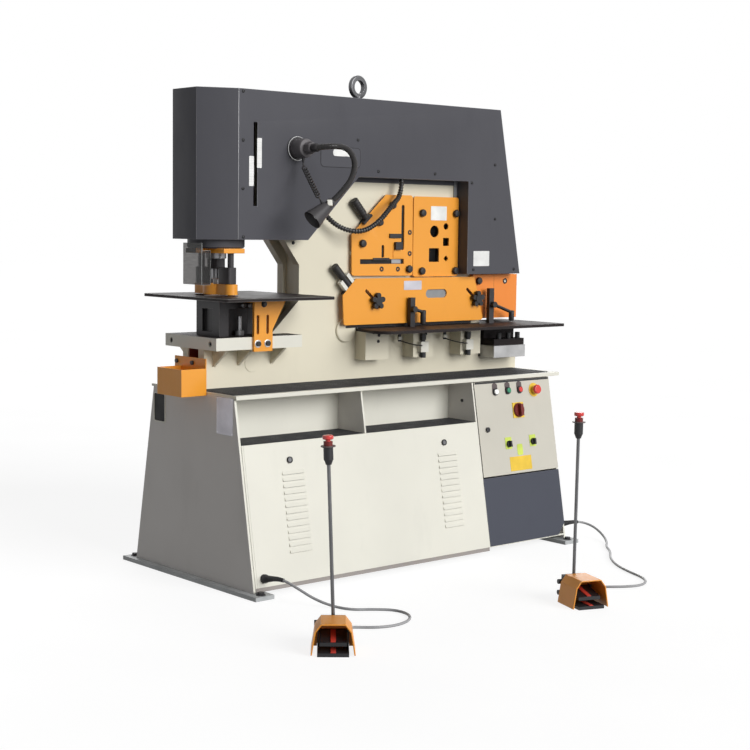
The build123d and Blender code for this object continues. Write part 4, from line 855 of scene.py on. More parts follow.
class IRONWORKER_OT_stage(bpy.types.Operator):
    """Set up the floor, the lights and the camera"""

    bl_idname = "ironworker.stage"
    bl_label = "Stage"

    FLOOR_SIZE, FAR_CLIP = 80, 200
    KEY_FROM, RIM_FROM, SOFTNESS = (0.2, -0.9, 0.36), (0.55, 0.75, 0.45), 40
    # The floor's grey where only reflected light meets it, its greys in view, and their lift to white
    UNSEEN_GREY, LOW_GREY, HIGH_GREY = (0.3, 0.3, 0.3), (0.24, 0.24, 0.24), (0.26, 0.26, 0.26)
    LIFT = 0.84

    def execute(self, context):
        stage = context.scene.ironworker_stage
        context.scene.view_settings.view_transform = "Standard"
        self.surroundings(context, stage.ambient)
        deselect()
        bpy.ops.mesh.primitive_plane_add(size=self.FLOOR_SIZE)
        floor = settle("studio_floor")
        floor.data.materials.append(self.floor_finish())
        self.sun("key_sun", self.KEY_FROM, stage.key)
        self.sun("rim_sun", self.RIM_FROM, stage.rim)
        self.camera(context, stage)
        return {"FINISHED"}

    def camera(self, context, stage):
        camera = bpy.data.cameras.new("photo_camera")
        camera.lens = stage.lens
        camera.clip_end = self.FAR_CLIP
        eye = bpy.data.objects.new("photo_camera", camera)
        turn = Matrix.Rotation(stage.camera_pan - math.pi / 2, 4, "Z")
        tilt = Matrix.Rotation(math.pi / 2 - stage.camera_pitch, 4, "X")
        roll = Matrix.Rotation(-stage.camera_roll, 4, "Z")
        eye.matrix_world = Matrix.Translation(stage.camera_place) @ turn @ tilt @ roll
        context.scene.collection.objects.link(eye)
        context.scene.camera = eye

    def sun(self, name, towards, strength):
        light = bpy.data.lights.new(name, "SUN")
        light.energy = strength
        light.angle = math.radians(self.SOFTNESS)
        piece = bpy.data.objects.new(name, light)
        piece.matrix_world = Vector(towards).to_track_quat("Z", "Y").to_matrix().to_4x4()
        bpy.context.scene.collection.objects.link(piece)

    def seen(self, tree):
        """1 for rays that show the background: straight from the camera, mirrored or through glass."""
        rays = tree.nodes.new("ShaderNodeLightPath").outputs
        total = rays["Is Camera Ray"]
        for key in ("Is Glossy Ray", "Is Transmission Ray"):
            highest = tree.nodes.new("ShaderNodeMath")
            highest.operation = "MAXIMUM"
            tree.links.new(total, highest.inputs[0])
            tree.links.new(rays[key], highest.inputs[1])
            total = highest.outputs["Value"]
        return total

    def surroundings(self, context, ambient):
        world = bpy.data.worlds.new("studio")
        world.use_nodes = True
        context.scene.world = world
        tree = world.node_tree
        strength = spread(tree, self.seen(tree), 0.0, 1.0, ambient, 1.0)
        tree.links.new(strength, tree.nodes["Background"].inputs["Strength"])
        tree.nodes["Background"].inputs["Color"].default_value = (1, 1, 1, 1)

    def floor_finish(self):
        """A grey floor that takes the shadow, lifted to white where it is in view."""
        material, tree, shader, where = new_finish("pale_floor")
        tree.nodes.remove(shader)
        hidden, shown = (tree.nodes.new("ShaderNodeBsdfDiffuse") for _ in range(2))
        hidden.inputs["Color"].default_value = (*self.UNSEEN_GREY, 1)
        cloud = ramp(tree, noise(tree, where, 1.5, 3.0), 0.3, 0.7, self.LOW_GREY, self.HIGH_GREY)
        tree.links.new(cloud, shown.inputs["Color"])
        lift = tree.nodes.new("ShaderNodeEmission")
        lift.inputs["Strength"].default_value = self.LIFT
        both = tree.nodes.new("ShaderNodeAddShader")
        tree.links.new(shown.outputs["BSDF"], both.inputs[0])
        tree.links.new(lift.outputs["Emission"], both.inputs[1])
        choice = tree.nodes.new("ShaderNodeMixShader")
        tree.links.new(self.seen(tree), choice.inputs["Fac"])
        tree.links.new(hidden.outputs["BSDF"], choice.inputs[1])
        tree.links.new(both.outputs["Shader"], choice.inputs[2])
        tree.links.new(choice.outputs["Shader"], tree.nodes["Material Output"].inputs["Surface"])
        return material


class IRONWORKER_OT_base(bpy.types.Operator):
    """Finish the base cabinet, its deck, floor bars and panels"""

    bl_idname = "ironworker.base"
    bl_label = "Base"

    # Anchor bolts: places, then head radius, head height and washer radius
    ANCHORS = ((-828, -427), (-828, 427), (828, -427), (828, 427))
    ANCHOR_BOLT = (13, 11, 18)
    BAY_SCREW_AT = (BAY_WALL, -218, 633)
    LOCKS, LOCK_Z, LOCK_REACH_X, LOCK_REACH_Z = (-618, 180), 481, 12.5, 14
    LOCK_RING, LOCK_TOP, PANEL_SKIN = (12.4, 8), 7.6, 3.2
    # Strips that close gaps, the lower one in dark grey-brown as painted shadow below the panel: name,
    # left, right, low, high, thickness, finish
    STRIPS = (
        ("panel_strip", -830.2, -821.8, 33, 547, 2, "cream"),
        ("toe_strip", -830, BAY_WALL, 18, 32.5, 1.6, "toe"),
    )
    PLATE_AT, PLATE_SIZE = (-213, 651.5), (104, 139)
    RIVET, RIVET_INSET = ((0.5, 2.6), (1.6, 2.4), (2.3, 1.2)), 6
    RECESS_AT, RECESS_SIZE, RECESS_CORNER = (227, 642), (82, 116), 10
    RECESS_THICK, RECESS_RIM, RECESS_SIDE, RECESS_DEPTH = 2.2, 4, 0.8, 1.8

    def execute(self, context):
        plate = plate_edge(context)
        # Faces that look left get the greyer cream: painted shade on the base's left end
        ends = ("end_cream", lambda c, n: n.x < -LOOKS)
        dress("base_cabinet", "cream", "cream_edge", plate, [ends])
        dress("base_deck", "cream", "cream_edge", plate)
        dress("foot_bars", "galvanised")
        dress("front_panel", "cream", regions=[("plastic", self.lock)])
        dress("kick_panel", "kick", "charcoal_edge", sheet_edge(context))
        bolt = hex_bolt("anchor_bolt", *self.ANCHOR_BOLT)
        places = [Matrix.Translation(mm(x, y, FOOT_THICK)) for x, y in self.ANCHORS]
        finish(copies(bolt, "anchor_bolts", places), "machine", "tool")
        screw = socket_screw("bay_wall_screw", *COVER_SCREW)
        finish(placed(screw, facing(mm(*self.BAY_SCREW_AT), LEFT)), "machine", "plastic")
        self.panel_trim()
        self.end_plate()
        self.end_recess()
        return {"FINISHED"}

    def lock(self, c, n):
        across = min(abs(c.x - x) for x in self.LOCKS)
        close = across < self.LOCK_REACH_X and abs(c.z - self.LOCK_Z) < self.LOCK_REACH_Z
        return close and front_depth(c) > self.PANEL_SKIN

    def panel_trim(self):
        """The locks' round faces, the strip that closes the gap beside the front panel, and a dark strip
        below the panel that is painted shadow.
        """
        face = button_ring("lock_face", *self.LOCK_RING)
        coat(face, "plastic", "dark_steel")
        places = [facing(on_front(x, self.LOCK_Z, self.LOCK_TOP), OUTWARD) for x in self.LOCKS]
        finish(copies(face, "panel_lock_faces", places), "machine")
        for name, left, right, low, high, thick, coating in self.STRIPS:
            place = on_slope((left + right) / 2, (low + high) / 2)
            size = (right - left, (high - low) / math.cos(SLOPE))
            thin_plate(name, place, size, coating, corner=1, thick=thick)

    def on_end(self, at):
        return laid(mm(BASE_LEFT, *at), FRONT, UP)

    def end_plate(self):
        """A bare plate on four rivets, on the left end."""
        place = self.on_end(self.PLATE_AT)
        thin_plate("end_plate", place, self.PLATE_SIZE, "plate_silver")
        across, up = (size / 2 - self.RIVET_INSET for size in self.PLATE_SIZE)
        corners = [mm(x * across, y * up, 0) for x in (-1, 1) for y in (-1, 1)]
        rivet = turned("rivet", self.RIVET, 16)
        places = [place @ Matrix.Translation(corner) for corner in corners]
        finish(copies(rivet, "end_plate_rivets", places), "machine", "zinc")

    def end_recess(self):
        """A framed hand recess near the left end's rear corner."""
        piece = flat_plate("end_recess", *self.RECESS_SIZE, self.RECESS_THICK, self.RECESS_CORNER)
        select_parts(piece, "FACE", lambda face: face.normal.z > LOOKS)
        bpy.ops.mesh.inset(thickness=self.RECESS_RIM * MM, depth=0)
        bpy.ops.mesh.inset(thickness=self.RECESS_SIDE * MM, depth=-self.RECESS_DEPTH * MM)
        deselect()
        coat(piece, "cream", "shadow")
        recolour(piece, 1, sunk)
        finish(placed(piece, self.on_end(self.RECESS_AT)), "machine")


class IRONWORKER_OT_mats(bpy.types.Operator):
    """Lay the ribbed rubber mats on the deck and the shelves"""

    bl_idname = "ironworker.mats"
    bl_label = "Rubber mats"

    WEB, RIB, RIB_PITCH = 1.8, 1.2, 11
    TRAY_FRONT = -263
    SHELVES, SHELF_FRONT, SHELF_BACK = ((-826, -236), (-220, 374)), -296.6, -138

    def execute(self, context):
        low, high = (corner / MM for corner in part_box("rubber_mats"))
        tray_floor = high.z - self.WEB - self.RIB
        made = [self.mat((low.x, self.TRAY_FRONT), (high.x, high.y), tray_floor)]
        for left, right in self.SHELVES:
            made.append(self.mat((left, self.SHELF_FRONT), (right, self.SHELF_BACK), low.z))
        pick(*made)
        bpy.ops.object.join()
        made[0].name = "ribbed_mats"
        piece = finish(made[0], "machine", "rubber")
        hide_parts("rubber_mats")
        return {"FINISHED"}

    def mat(self, near_corner, far_corner, bottom):
        """A sheet with ribs along it, drawn up from strips of its top."""
        (left, front), (right, back) = near_corner, far_corner
        ribs = max(4, round((back - front) / self.RIB_PITCH))
        strip = (back - front) / (2 * ribs + 1)
        deselect()
        bpy.ops.mesh.primitive_grid_add(x_subdivisions=1, y_subdivisions=2 * ribs + 1, size=1)
        piece = settle("mat")
        middle = Matrix.Translation(mm((left + right) / 2, (front + back) / 2, bottom))
        placed(piece, middle @ Matrix.Diagonal(((right - left) * MM, (back - front) * MM, 1, 1)))
        pick(piece)
        edit_all()
        draw_out(mm(0, 0, self.WEB))

        def on_rib(face):
            row = int((face.center.y / MM - front) / strip)
            return face.normal.z > LOOKS and row % 2 == 1

        select_parts(piece, "FACE", on_rib)
        draw_out(mm(0, 0, self.RIB))
        face_outwards()
        return piece


class IRONWORKER_OT_frame(bpy.types.Operator):
    """Finish the frame plates, pivot pin, shear beam and their cylinders"""

    bl_idname = "ironworker.frame_plates"
    bl_label = "Frame and mechanism"

    CAP_AT, CAP = (-582, 824), ((-1, 36), (1.4, 36), (2.2, 35))
    SCREW_AT = (-385, 1290)
    STUDS_RIGHT, STUD_Z, STUD_REACH = -810, 836, 9
    CHUTE_FRONT, CHUTE_BACK, CHUTE_RIGHT, CHUTE_LOW = 8.5, 74.5, -555, 732
    LINER_LOW, LINER_HIGH = (-805, 70.5, 800), (-560, 73.8, 884)
    WINDOW_CORNER, CORNER_THICK = ((-70, 1338), (72, 1465), (-70, 1465)), 5.6
    NOTCHER_LEFT, NOTCHER_TOP = 744, 1060
    TANK_TOP, MOTOR_LEFT, MOTOR_RIGHT, VALVES_LEFT = 331, -541, -140, -112
    GEAR_PLATE = 13

    def execute(self, context):
        plate = plate_edge(context)
        studs = ("tool", self.stud)
        chute = ("chute_red", self.chute)
        dress("frame_front_plate", "frame_cream", "frame_cream_edge", plate, [studs])
        dress("frame_rear_plate", "frame_cream", "frame_cream_edge", plate, [chute, studs])
        head = ("frame_cream", lambda c, n: c.y < FRAME_FRONT - TRIM_GAP)
        dress("pivot_pin", "ground", "frame_cream_edge", 1, [head])
        notcher = ("ground", lambda c, n: c.z < self.NOTCHER_TOP and c.x > self.NOTCHER_LEFT)
        dress("shear_beam", "tool", "black_edge", plate, [notcher])
        dress("shear_cylinder", "charcoal", "charcoal_edge", 1)
        dress("shear_rod", "bright", "bright", 1)
        valves = ("ground", lambda c, n: c.x > self.VALVES_LEFT and c.z > self.TANK_TOP)
        dress("hydraulic_unit", "tank", "tank", 3, [("motor", self.motor), valves])
        gear = ("switchgear", lambda c, n: c.y < self.GEAR_PLATE)
        dress("control_gear", "zinc", "zinc", 1, [gear])
        turned_on("frame_cap", standing(FRAME_FRONT, *self.CAP_AT), self.CAP, "frame_cream", sides=48)
        screw = socket_screw("frame_screw", *COVER_SCREW)
        finish(placed(screw, standing(FRAME_FRONT, *self.SCREW_AT)), "machine", "plastic")
        front = FRAME_FRONT + TRIM_GAP
        upright_plate("window_corner", self.WINDOW_CORNER, front, front + self.CORNER_THICK, "frame_cream")
        block("chute_liner", self.LINER_LOW, self.LINER_HIGH, "chute_red", edge=0.5)
        return {"FINISHED"}

    def stud(self, c, n):
        return c.x < self.STUDS_RIGHT and abs(c.z - self.STUD_Z) < self.STUD_REACH

    def chute(self, c, n):
        return self.CHUTE_FRONT < c.y < self.CHUTE_BACK and c.x < self.CHUTE_RIGHT and c.z > self.CHUTE_LOW

    def motor(self, c, n):
        return self.MOTOR_LEFT < c.x < self.MOTOR_RIGHT and c.z > self.TANK_TOP


class IRONWORKER_OT_casing(bpy.types.Operator):
    """Finish the casing with its hatch, scale strips, screws and lifting eye"""

    bl_idname = "ironworker.casing"
    bl_label = "Casing"

    SCREWS = (
        (-684, 1858), (-684, 1676), (-684, 1495), (-681, 1313), (-119, 1702), (-8, 1581),
        (305, 1581), (522, 1550), (660, 1631), (666, 1398), (540, 1180), (790, 1180),
    )
    HATCH_AT, HATCH_SIZE, HATCH_THICK, HATCH_CORNER = (-207.5, 1629.5), (201, 77), 0.9, 16
    GAP, GAP_THICK = 2, 0.3
    # Bare plates: name, place, size, finish, corner radius, lift off the casing
    PLATES = (
        ("scale_strip_upper", (-608, 1630.5), (22, 113), "scale", 3, 0),
        ("scale_strip_lower", (-645, 1561.5), (22, 113), "scale", 3, 0),
        ("lamp_plate", (-196, 1647.5), (104, 27), "plate_white", 11, HATCH_THICK),
        ("leg_plate", (587, 1226.5), (96, 65), "plate_white", 3, 0),
    )
    # A bright bead down the casing's corner: painted highlight
    BEAD_AT, BEAD_TOP, BEAD_RADIUS, BEAD_TIP = (-705, CASE_FRONT, 1304), 1866, 1.2, 0.8
    # Fixing lips along the top and right of the window: name, low corner, high corner, finish
    LIP_BACK = FRAME_FRONT - 0.3
    LIPS = (
        ("window_lip_top", (-96, -36, 1538), (484, LIP_BACK, 1557), "charcoal"),
        ("window_lip_right", (484, -35, 1484), (503, LIP_BACK, 1557), "switchgear"),
    )

    def execute(self, context):
        sizes = context.scene.ironworker_sizes
        dress("top_casing", "charcoal", "charcoal_edge", sizes.casing_edge / MM)
        dress("eyebolt", "dark_steel", "stalk", 0.8)
        self.hatch()
        for name, at, size, coating, corner, lift in self.PLATES:
            thin_plate(name, self.on_casing(*at, lift), size, coating, corner=corner)
        self.bead()
        for lip in self.LIPS:
            block(*lip)
        self.screws(sizes.casing_screw / MM)
        return {"FINISHED"}

    def on_casing(self, x, z, lift=0.0):
        return laid(mm(x, CASE_FRONT - lift, z))

    def hatch(self):
        """A cover plate with round corners, and the dark gap round it."""
        place, corner = self.on_casing(*self.HATCH_AT), self.HATCH_CORNER
        width, height = (side + 2 * self.GAP for side in self.HATCH_SIZE)
        gap = flat_plate("hatch_gap", width, height, self.GAP_THICK, corner + self.GAP)
        finish(placed(gap, place), "machine", "shadow")
        size, thick = self.HATCH_SIZE, self.HATCH_THICK
        thin_plate("casing_hatch", place, size, "charcoal", corner=corner, thick=thick)

    def bead(self):
        """A bright steel bead down the casing's front left corner: a painted highlight along that edge."""
        rise, radius, tip = self.BEAD_TOP - self.BEAD_AT[2], self.BEAD_RADIUS, self.BEAD_TIP
        profile = [(0, tip), (1, radius), (rise - 1, radius), (rise, tip)]
        place = Matrix.Translation(mm(*self.BEAD_AT))
        turned_on("casing_bead", place, profile, "stalk", sides=12, limit=40)

    def screws(self, radius):
        """Cover screws on the casing's front and back."""
        places = []
        for x, z in self.SCREWS:
            places.append(standing(CASE_FRONT, x, z))
            places.append(facing(mm(x, CASE_BACK, z), BACK))
        screw = socket_screw("casing_screw", radius, 0.6 * radius)
        finish(copies(screw, "casing_screws", places), "machine", "plastic")


class IRONWORKER_OT_punch(bpy.types.Operator):
    """Finish the punching station, its table, stripper and slug box"""

    bl_idname = "ironworker.punch"
    bl_label = "Punching station"

    NUT_LOW, NUT_HIGH = 1190, 1228
    BAR_UNDERSIDE, FOOT_TOP = 1249.5, 1132.4
    PLATE_LOW, PLATE_TOP, BLADES_LOW = 887, 933, 1185
    CLAMP_STUD, STUD_REACH, STUD_TOP = (-652, -42), 19.5, 1008.5
    GUIDE_LOW, GUIDE_HIGH, GUIDE_CORNER, GUIDE_EDGE = (-726, -74, 1132.3), (-688, -2, 1196), 7, 2
    POST_AT, POST_BORE, BORE_OVER = (-704, PUNCH_Y - 97), 12.8, 5
    REAR_LOW, REAR_HIGH = (-600, -20, 934.3), (-488, 92, 1069)
    BRACKET_FRONT, BRACKET_BACK = -143, 226
    BRACKET_BOLTS, BRACKET_BOLT_Z, BOLT_REACH, BOLT_OUT = (-638, -592), 908, 10.5, 0.2
    WASHER = ((-0.2, 15), (1.6, 15), (2, 14))
    TOP_BOLT_AT, TOP_BOLT = (-610, 1059), (10, 9, 13)
    BOLSTER_FRONT, BOLSTER_BOLTS, BOLSTER_BOLT = -62, ((-647, 1052), (-615, 1049)), (9, 8, 10)
    END_X, END_HOLES, END_HOLE_Z, END_SCREW = -810, (PUNCH_Y - 132, PUNCH_Y + 132), 910, (9, 10)

    def execute(self, context):
        plate = plate_edge(context)
        nut = ("tool", lambda c, n: self.NUT_LOW <= c.z <= self.NUT_HIGH)
        posts = ("tool", lambda c, n: c.z < self.BAR_UNDERSIDE)
        sleeves = ("plastic", lambda c, n: c.z > self.FOOT_TOP)
        blades = ("tool", lambda c, n: c.z > self.BLADES_LOW)
        dress("punch_cylinder", "charcoal", "charcoal_edge", plate)
        dress("punch_ram", "stalk", "bright", 1.2, [nut])
        dress("stripper_bracket", "orange", "orange_edge", plate, [posts])
        dress("stripper_foot", "orange", regions=[sleeves])
        # The clear guard's eased edges take the pale colour: painted highlight
        dress("clear_guard", "clear", "clear_edge", 0.7)
        base_regions = [("cream", self.base_side), ("black", self.base_top)]
        dress("punch_base", "frame_cream", "frame_cream_edge", plate, base_regions)
        dress("die_bolster", "tool", "black_edge", plate, [("stalk", self.clamp_stud)])
        dress("fixed_tools", "ground", "ground", 0.8, [blades])
        dress("punch_table", "black", "black_edge", plate)
        dress("table_brackets", "orange", "orange_edge", plate, [("plastic", self.bracket_bolt)])
        dress("slug_box", "orange", "orange_edge", sheet_edge(context))
        self.guides()
        block("bolster_rear", self.REAR_LOW, self.REAR_HIGH, "tool", edge=2)
        self.fasteners()
        return {"FINISHED"}

    def base_side(self, c, n):
        return c.z > self.PLATE_LOW and (n.x < -LOOKS or abs(n.y) > LOOKS)

    def base_top(self, c, n):
        return c.z > self.PLATE_TOP and n.z > LOOKS

    def clamp_stud(self, c, n):
        x, y = self.CLAMP_STUD
        return abs(c.x - x) < self.STUD_REACH and abs(c.y - y) < self.STUD_REACH and c.z < self.STUD_TOP

    def bracket_bolt(self, c, n):
        across = min(abs(c.x - x) for x in self.BRACKET_BOLTS)
        close = across < self.BOLT_REACH and abs(c.z - self.BRACKET_BOLT_Z) < self.BOLT_REACH
        outside = max(self.BRACKET_FRONT - c.y, c.y - self.BRACKET_BACK)
        return close and outside > self.BOLT_OUT

    def guides(self):
        """Cast guide blocks round the stripper's two sleeves."""
        guide = slab("guide", self.GUIDE_LOW, self.GUIDE_HIGH)
        round_corners(guide, UP, self.GUIDE_CORNER)
        apply_bevel(guide, self.GUIDE_EDGE)
        span = (self.GUIDE_LOW[2] - self.BORE_OVER, self.GUIDE_HIGH[2] + self.BORE_OVER)
        bore = turned("bore", [(height, self.POST_BORE) for height in span])
        post_x, post_y = self.POST_AT
        cut(guide, placed(bore, Matrix.Translation(mm(post_x, post_y, 0))))
        axis = mm(post_x, PUNCH_Y, 0)
        half_turn = Matrix.Translation(axis) @ Matrix.Rotation(math.pi, 4, "Z") @ Matrix.Translation(-axis)
        finish(copies(guide, "stripper_guides", [Matrix(), half_turn]), "stripper_foot", "tool")

    def fasteners(self):
        """Washers and bolts of the table's brackets, the bolster and the base plate."""
        places = []
        for y, way in ((self.BRACKET_FRONT, FRONT), (self.BRACKET_BACK, BACK)):
            places += [facing(mm(x, y, self.BRACKET_BOLT_Z), way) for x in self.BRACKET_BOLTS]
        washer = turned("bracket_washer", self.WASHER)
        finish(copies(washer, "bracket_washers", places), "machine", "zinc")
        bolt = hex_bolt("bracket_top_bolt", *self.TOP_BOLT)
        finish(placed(bolt, standing(self.BRACKET_FRONT, *self.TOP_BOLT_AT)), "machine", "plastic")
        head = hex_bolt("bolster_bolt", *self.BOLSTER_BOLT)
        places = [standing(self.BOLSTER_FRONT, *at) for at in self.BOLSTER_BOLTS]
        finish(copies(head, "bolster_bolts", places), "machine", "stalk")
        screw = socket_screw("end_screw", *self.END_SCREW)
        places = [facing(mm(self.END_X, y, self.END_HOLE_Z), LEFT) for y in self.END_HOLES]
        finish(copies(screw, "base_plate_screws", places), "machine", "plastic")


class IRONWORKER_OT_shears(bpy.types.Operator):
    """Finish the shear and notcher guards, tables, knobs and hold-down screws"""

    bl_idname = "ironworker.shears"
    bl_label = "Shears and notcher"

    TABLE_TOP, CLAMP_FOOT_TOP, CLAMP_OUT = 944, 835.5, 0.5
    DIE_BLOCK_LOW, DIE_SCREW_LOW, DIE_SCREW_BACK = 845.5, 873.3, -86
    GUARD_BACK, FLAT_GUARD_BACK, STOP_OUT = -43.5, -59.5, 0.8
    # Tabs of the hold-downs: how far from the screw's point along its way, and in all
    UPPER_TAB, LOWER_TAB = (1, 32), (0.4, 50)
    KNOBS = (
        (116, 1448), (46, 1377), (-45, 1289), (212, 1183), (285, 1418),
        (480, 1419), (285, 1174), (480, 1174), (624, 1128),
    )
    KNOB = ((0, 10.5), (2.6, 10.5), (3.2, 15.6), (4.2, 16), (11.8, 16), (15, 13), (16, 8))
    # A knob's flutes: count, highest cosine across one, middle height, half height, share of the radius
    FLUTES, FLUTE_WIDTH, FLUTE_MIDDLE, FLUTE_REACH, FLUTE_SHARE = 8, -0.5, 8, 4.5, 0.88
    # Hold-downs: node, screw, way out, then the grip's lower end, upper end and radius
    HOLD_DOWNS = (
        ("holddown_upper", UPPER_SCREW, UPPER_WAY, 20, 99, 17),
        ("holddown_lower", LOWER_SCREW, LOWER_WAY, 48, 112, 16),
    )
    # A grip's ribs and the plain lengths below and above them, then the thread and its neck
    GRIP_RIBS, GRIP_FOOT, GRIP_HEAD = 6, 3, 5
    THREAD_RADIUS, THREAD_LOW, NECK_LOW = 7, -10, 0.3
    # One rib of a grip: share of the pitch and share of the radius
    GRIP_RIB = ((0, 0.97), (0.2, 1), (0.5, 1), (0.7, 0.94), (0.9, 0.94))
    RINGS, RING = ((217, 1336), (218, 1248), (63, 1184), (153, 1183)), (10.5, 3.4)
    NOTCH_RING_AT, NOTCH_RING = (792, 1125), (12.5, 5.7)
    # A black sheet just behind the section guard's slots: painted shade seen through them
    SHUTTER = ((-62, 1196), (195, 1196), (195, 1455), (160, 1455), (160, 1290), (-62, 1290))
    SHUTTER_FRONT, SHUTTER_BACK = -43.6, -41.6
    # Bars behind and on the guards, in block's order
    BARS = (
        ("blade_end", (120, -47, 1206), (171, -43.7, 1224), "stalk"),
        ("stop_bar", (102, -57, 1312), (168, -48, 1330), "plastic"),
        ("stop_ledge", (14, -54, 1220), (103, -49, 1230), "tool"),
        ("stop_tab", (124, -52.5, 1229), (187, -49.9, 1261), "orange"),
        ("notch_seam", (722.5, -50.2, 966), (723.5, -49.8, 1153), "shadow", "machine", 0.15),
        ("blade_rail", (-118, -40, 944), (596, FRAME_FRONT - TRIM_GAP, 967), "tool"),
        ("slot_plate", (300, -60.2, 1056), (424, -57.5, 1100), "switchgear", "flat_guard"),
    )
    GUARD_PLATE_AT, GUARD_PLATE = (382, GUARD_FACE, 1418), (92, 60)
    FLAT_PLATE_AT, FLAT_PLATE = (224, FLAT_GUARD_FACE, 1115), (100, 38)
    SUPPORT_SCREWS, SUPPORT_SCREW = ((-16, 926), (13, 914), (10, 889), (275, 911), (266, 889)), (6.5, 5)
    HANGERS, CLAMPS, CLAMP_Y, CLAMP_Z = ((157, -63), (417, -63)), (250, 514), -108, 880
    HANGING_STUD = ((-0.5, 12), (11, 12), (12, 7), (50, 7))
    HANGING_NUT = ((30, 10), (31, 11), (42, 11), (43, 10))
    CLAMP_BOLT = ((-0.5, 9), (6, 9), (6.5, 13), (32, 13), (34, 11))
    # A hook's bends, from the hanging stud and then from the clamp bolt
    HOOK_START, HOOK_END = ((0, -4, 4), (22, -30, -6)), ((-40, -8, -14), (-18, -14, -16))
    HOOK_RADIUS, HOOK_RINGS = 2.4, 25

    def execute(self, context):
        sheet, plate = sheet_edge(context), plate_edge(context)
        dress("section_guards", "orange", "orange_edge", sheet, [("tool", self.upper_tab)])
        cheeks = ("off_white", lambda c, n: (c - LOWER_SCREW).dot(LOWER_WAY) > self.LOWER_TAB[0])
        dress("flat_guard", "orange", "orange_edge", sheet, [("tool", self.lower_tab), cheeks])
        dress("notch_guard", "deep_orange", "deep_orange_edge", sheet)
        posts = ("tool", lambda c, n: c.z > self.TABLE_TOP)
        dress("flat_table", "black", "black_edge", plate, [posts])
        clamps = ("off_white", lambda c, n: c.y < SUPPORT_FACE - self.CLAMP_OUT)
        feet = ("plastic", lambda c, n: c.z < self.CLAMP_FOOT_TOP and c.y < SUPPORT_FACE)
        dress("table_supports", "frame_cream", "frame_cream_edge", plate, [clamps, feet])
        die_block = ("black", lambda c, n: c.z > self.DIE_BLOCK_LOW)
        screws = ("plastic", lambda c, n: c.z > self.DIE_SCREW_LOW and c.y < self.DIE_SCREW_BACK)
        dress("notch_die", "ground", "black_edge", plate, [die_block, screws])
        for side in ("left", "right"):
            dress("star_knob_" + side, "plastic", "plastic", 1.6)
            dress("clamp_lever_" + side, "grip_black", "grip_black", 1.2)
        self.knobs()
        for screw in self.HOLD_DOWNS:
            self.hold_down(*screw)
        self.guard_fittings()
        self.under_table()
        return {"FINISHED"}

    def on_tab(self, off, n, way, tab):
        """Whether a face, off from the screw's point, is the top of its tab."""
        rise, reach = tab
        return n.dot(way) > LOOKS and abs(off.dot(way)) < rise and off.length < reach

    def upper_tab(self, c, n):
        """The guard's stop blocks and back, and the tab of the upper hold-down."""
        beside = c.y < GUARD_FACE - self.STOP_OUT or c.y > self.GUARD_BACK
        return beside or self.on_tab(c - UPPER_SCREW, n, UPPER_WAY, self.UPPER_TAB)

    def lower_tab(self, c, n):
        """The flat guard's back and the tab of the lower hold-down."""
        back = c.y > self.FLAT_GUARD_BACK
        return back or self.on_tab(c - LOWER_SCREW, n, LOWER_WAY, self.LOWER_TAB)

    def knobs(self):
        """Fluted hand knobs on the section and notcher guards."""
        knob = turned("knob", self.KNOB, 40)

        def in_flute(vertex):
            x, y, z = vertex.co / MM
            across = math.cos(self.FLUTES * math.atan2(y, x))
            return across < self.FLUTE_WIDTH and abs(z - self.FLUTE_MIDDLE) < self.FLUTE_REACH

        select_parts(knob, "VERT", in_flute)
        share = self.FLUTE_SHARE
        bpy.ops.transform.resize(value=(share, share, 1), center_override=(0, 0, 0))
        deselect()
        places = [standing(GUARD_FACE, *at) for at in self.KNOBS]
        piece = finish(copies(knob, "fluted_knobs", places), "machine", "plastic", limit=30)
        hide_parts("guard_knobs")

    def hold_down(self, node, start, way, root, end, radius):
        """A threaded screw with a ribbed hand grip."""
        neck, thread = 0.75 * radius, self.THREAD_RADIUS
        pitch = (end - root - self.GRIP_FOOT - self.GRIP_HEAD) / self.GRIP_RIBS
        profile = [(self.THREAD_LOW, thread), (self.NECK_LOW, thread), (self.NECK_LOW, neck)]
        profile += [(root - 0.5, neck), (root, 0.86 * radius)]
        for rib in range(self.GRIP_RIBS):
            low = root + self.GRIP_FOOT + rib * pitch
            profile += [(low + share * pitch, size * radius) for share, size in self.GRIP_RIB]
        profile += [(end - 4.5, radius), (end - 3, radius), (end, radius - 3)]
        grip = placed(turned(node + "_grip", profile), facing(start * MM, way))
        coat(grip, "grip_black", "bright")
        recolour(grip, 1, lambda c, n: (c - start).dot(way) < 0.2)
        finish(grip, NODES[node]["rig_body"], limit=30)
        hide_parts(node)

    def guard_fittings(self):
        """Rings, stops, bare plates, and a black sheet behind the slots that is painted shade seen through
        them.
        """
        ring = button_ring("ring", *self.RING)
        coat(ring, "plastic", "orange")
        places = [standing(GUARD_FACE, *at) for at in self.RINGS]
        finish(copies(ring, "guard_rings", places), "machine")
        ring = button_ring("notch_ring", *self.NOTCH_RING)
        finish(placed(ring, standing(GUARD_FACE, *self.NOTCH_RING_AT)), "machine", "plastic", "off_white")
        upright_plate("slot_shutter", self.SHUTTER, self.SHUTTER_FRONT, self.SHUTTER_BACK, "shadow")
        for bar in self.BARS:
            block(*bar)
        thin_plate("guard_plate", laid(mm(*self.GUARD_PLATE_AT)), self.GUARD_PLATE, "plate_white")
        flat_place = laid(mm(*self.FLAT_PLATE_AT))
        thin_plate("flat_guard_plate", flat_place, self.FLAT_PLATE, "plate_silver", "flat_guard")

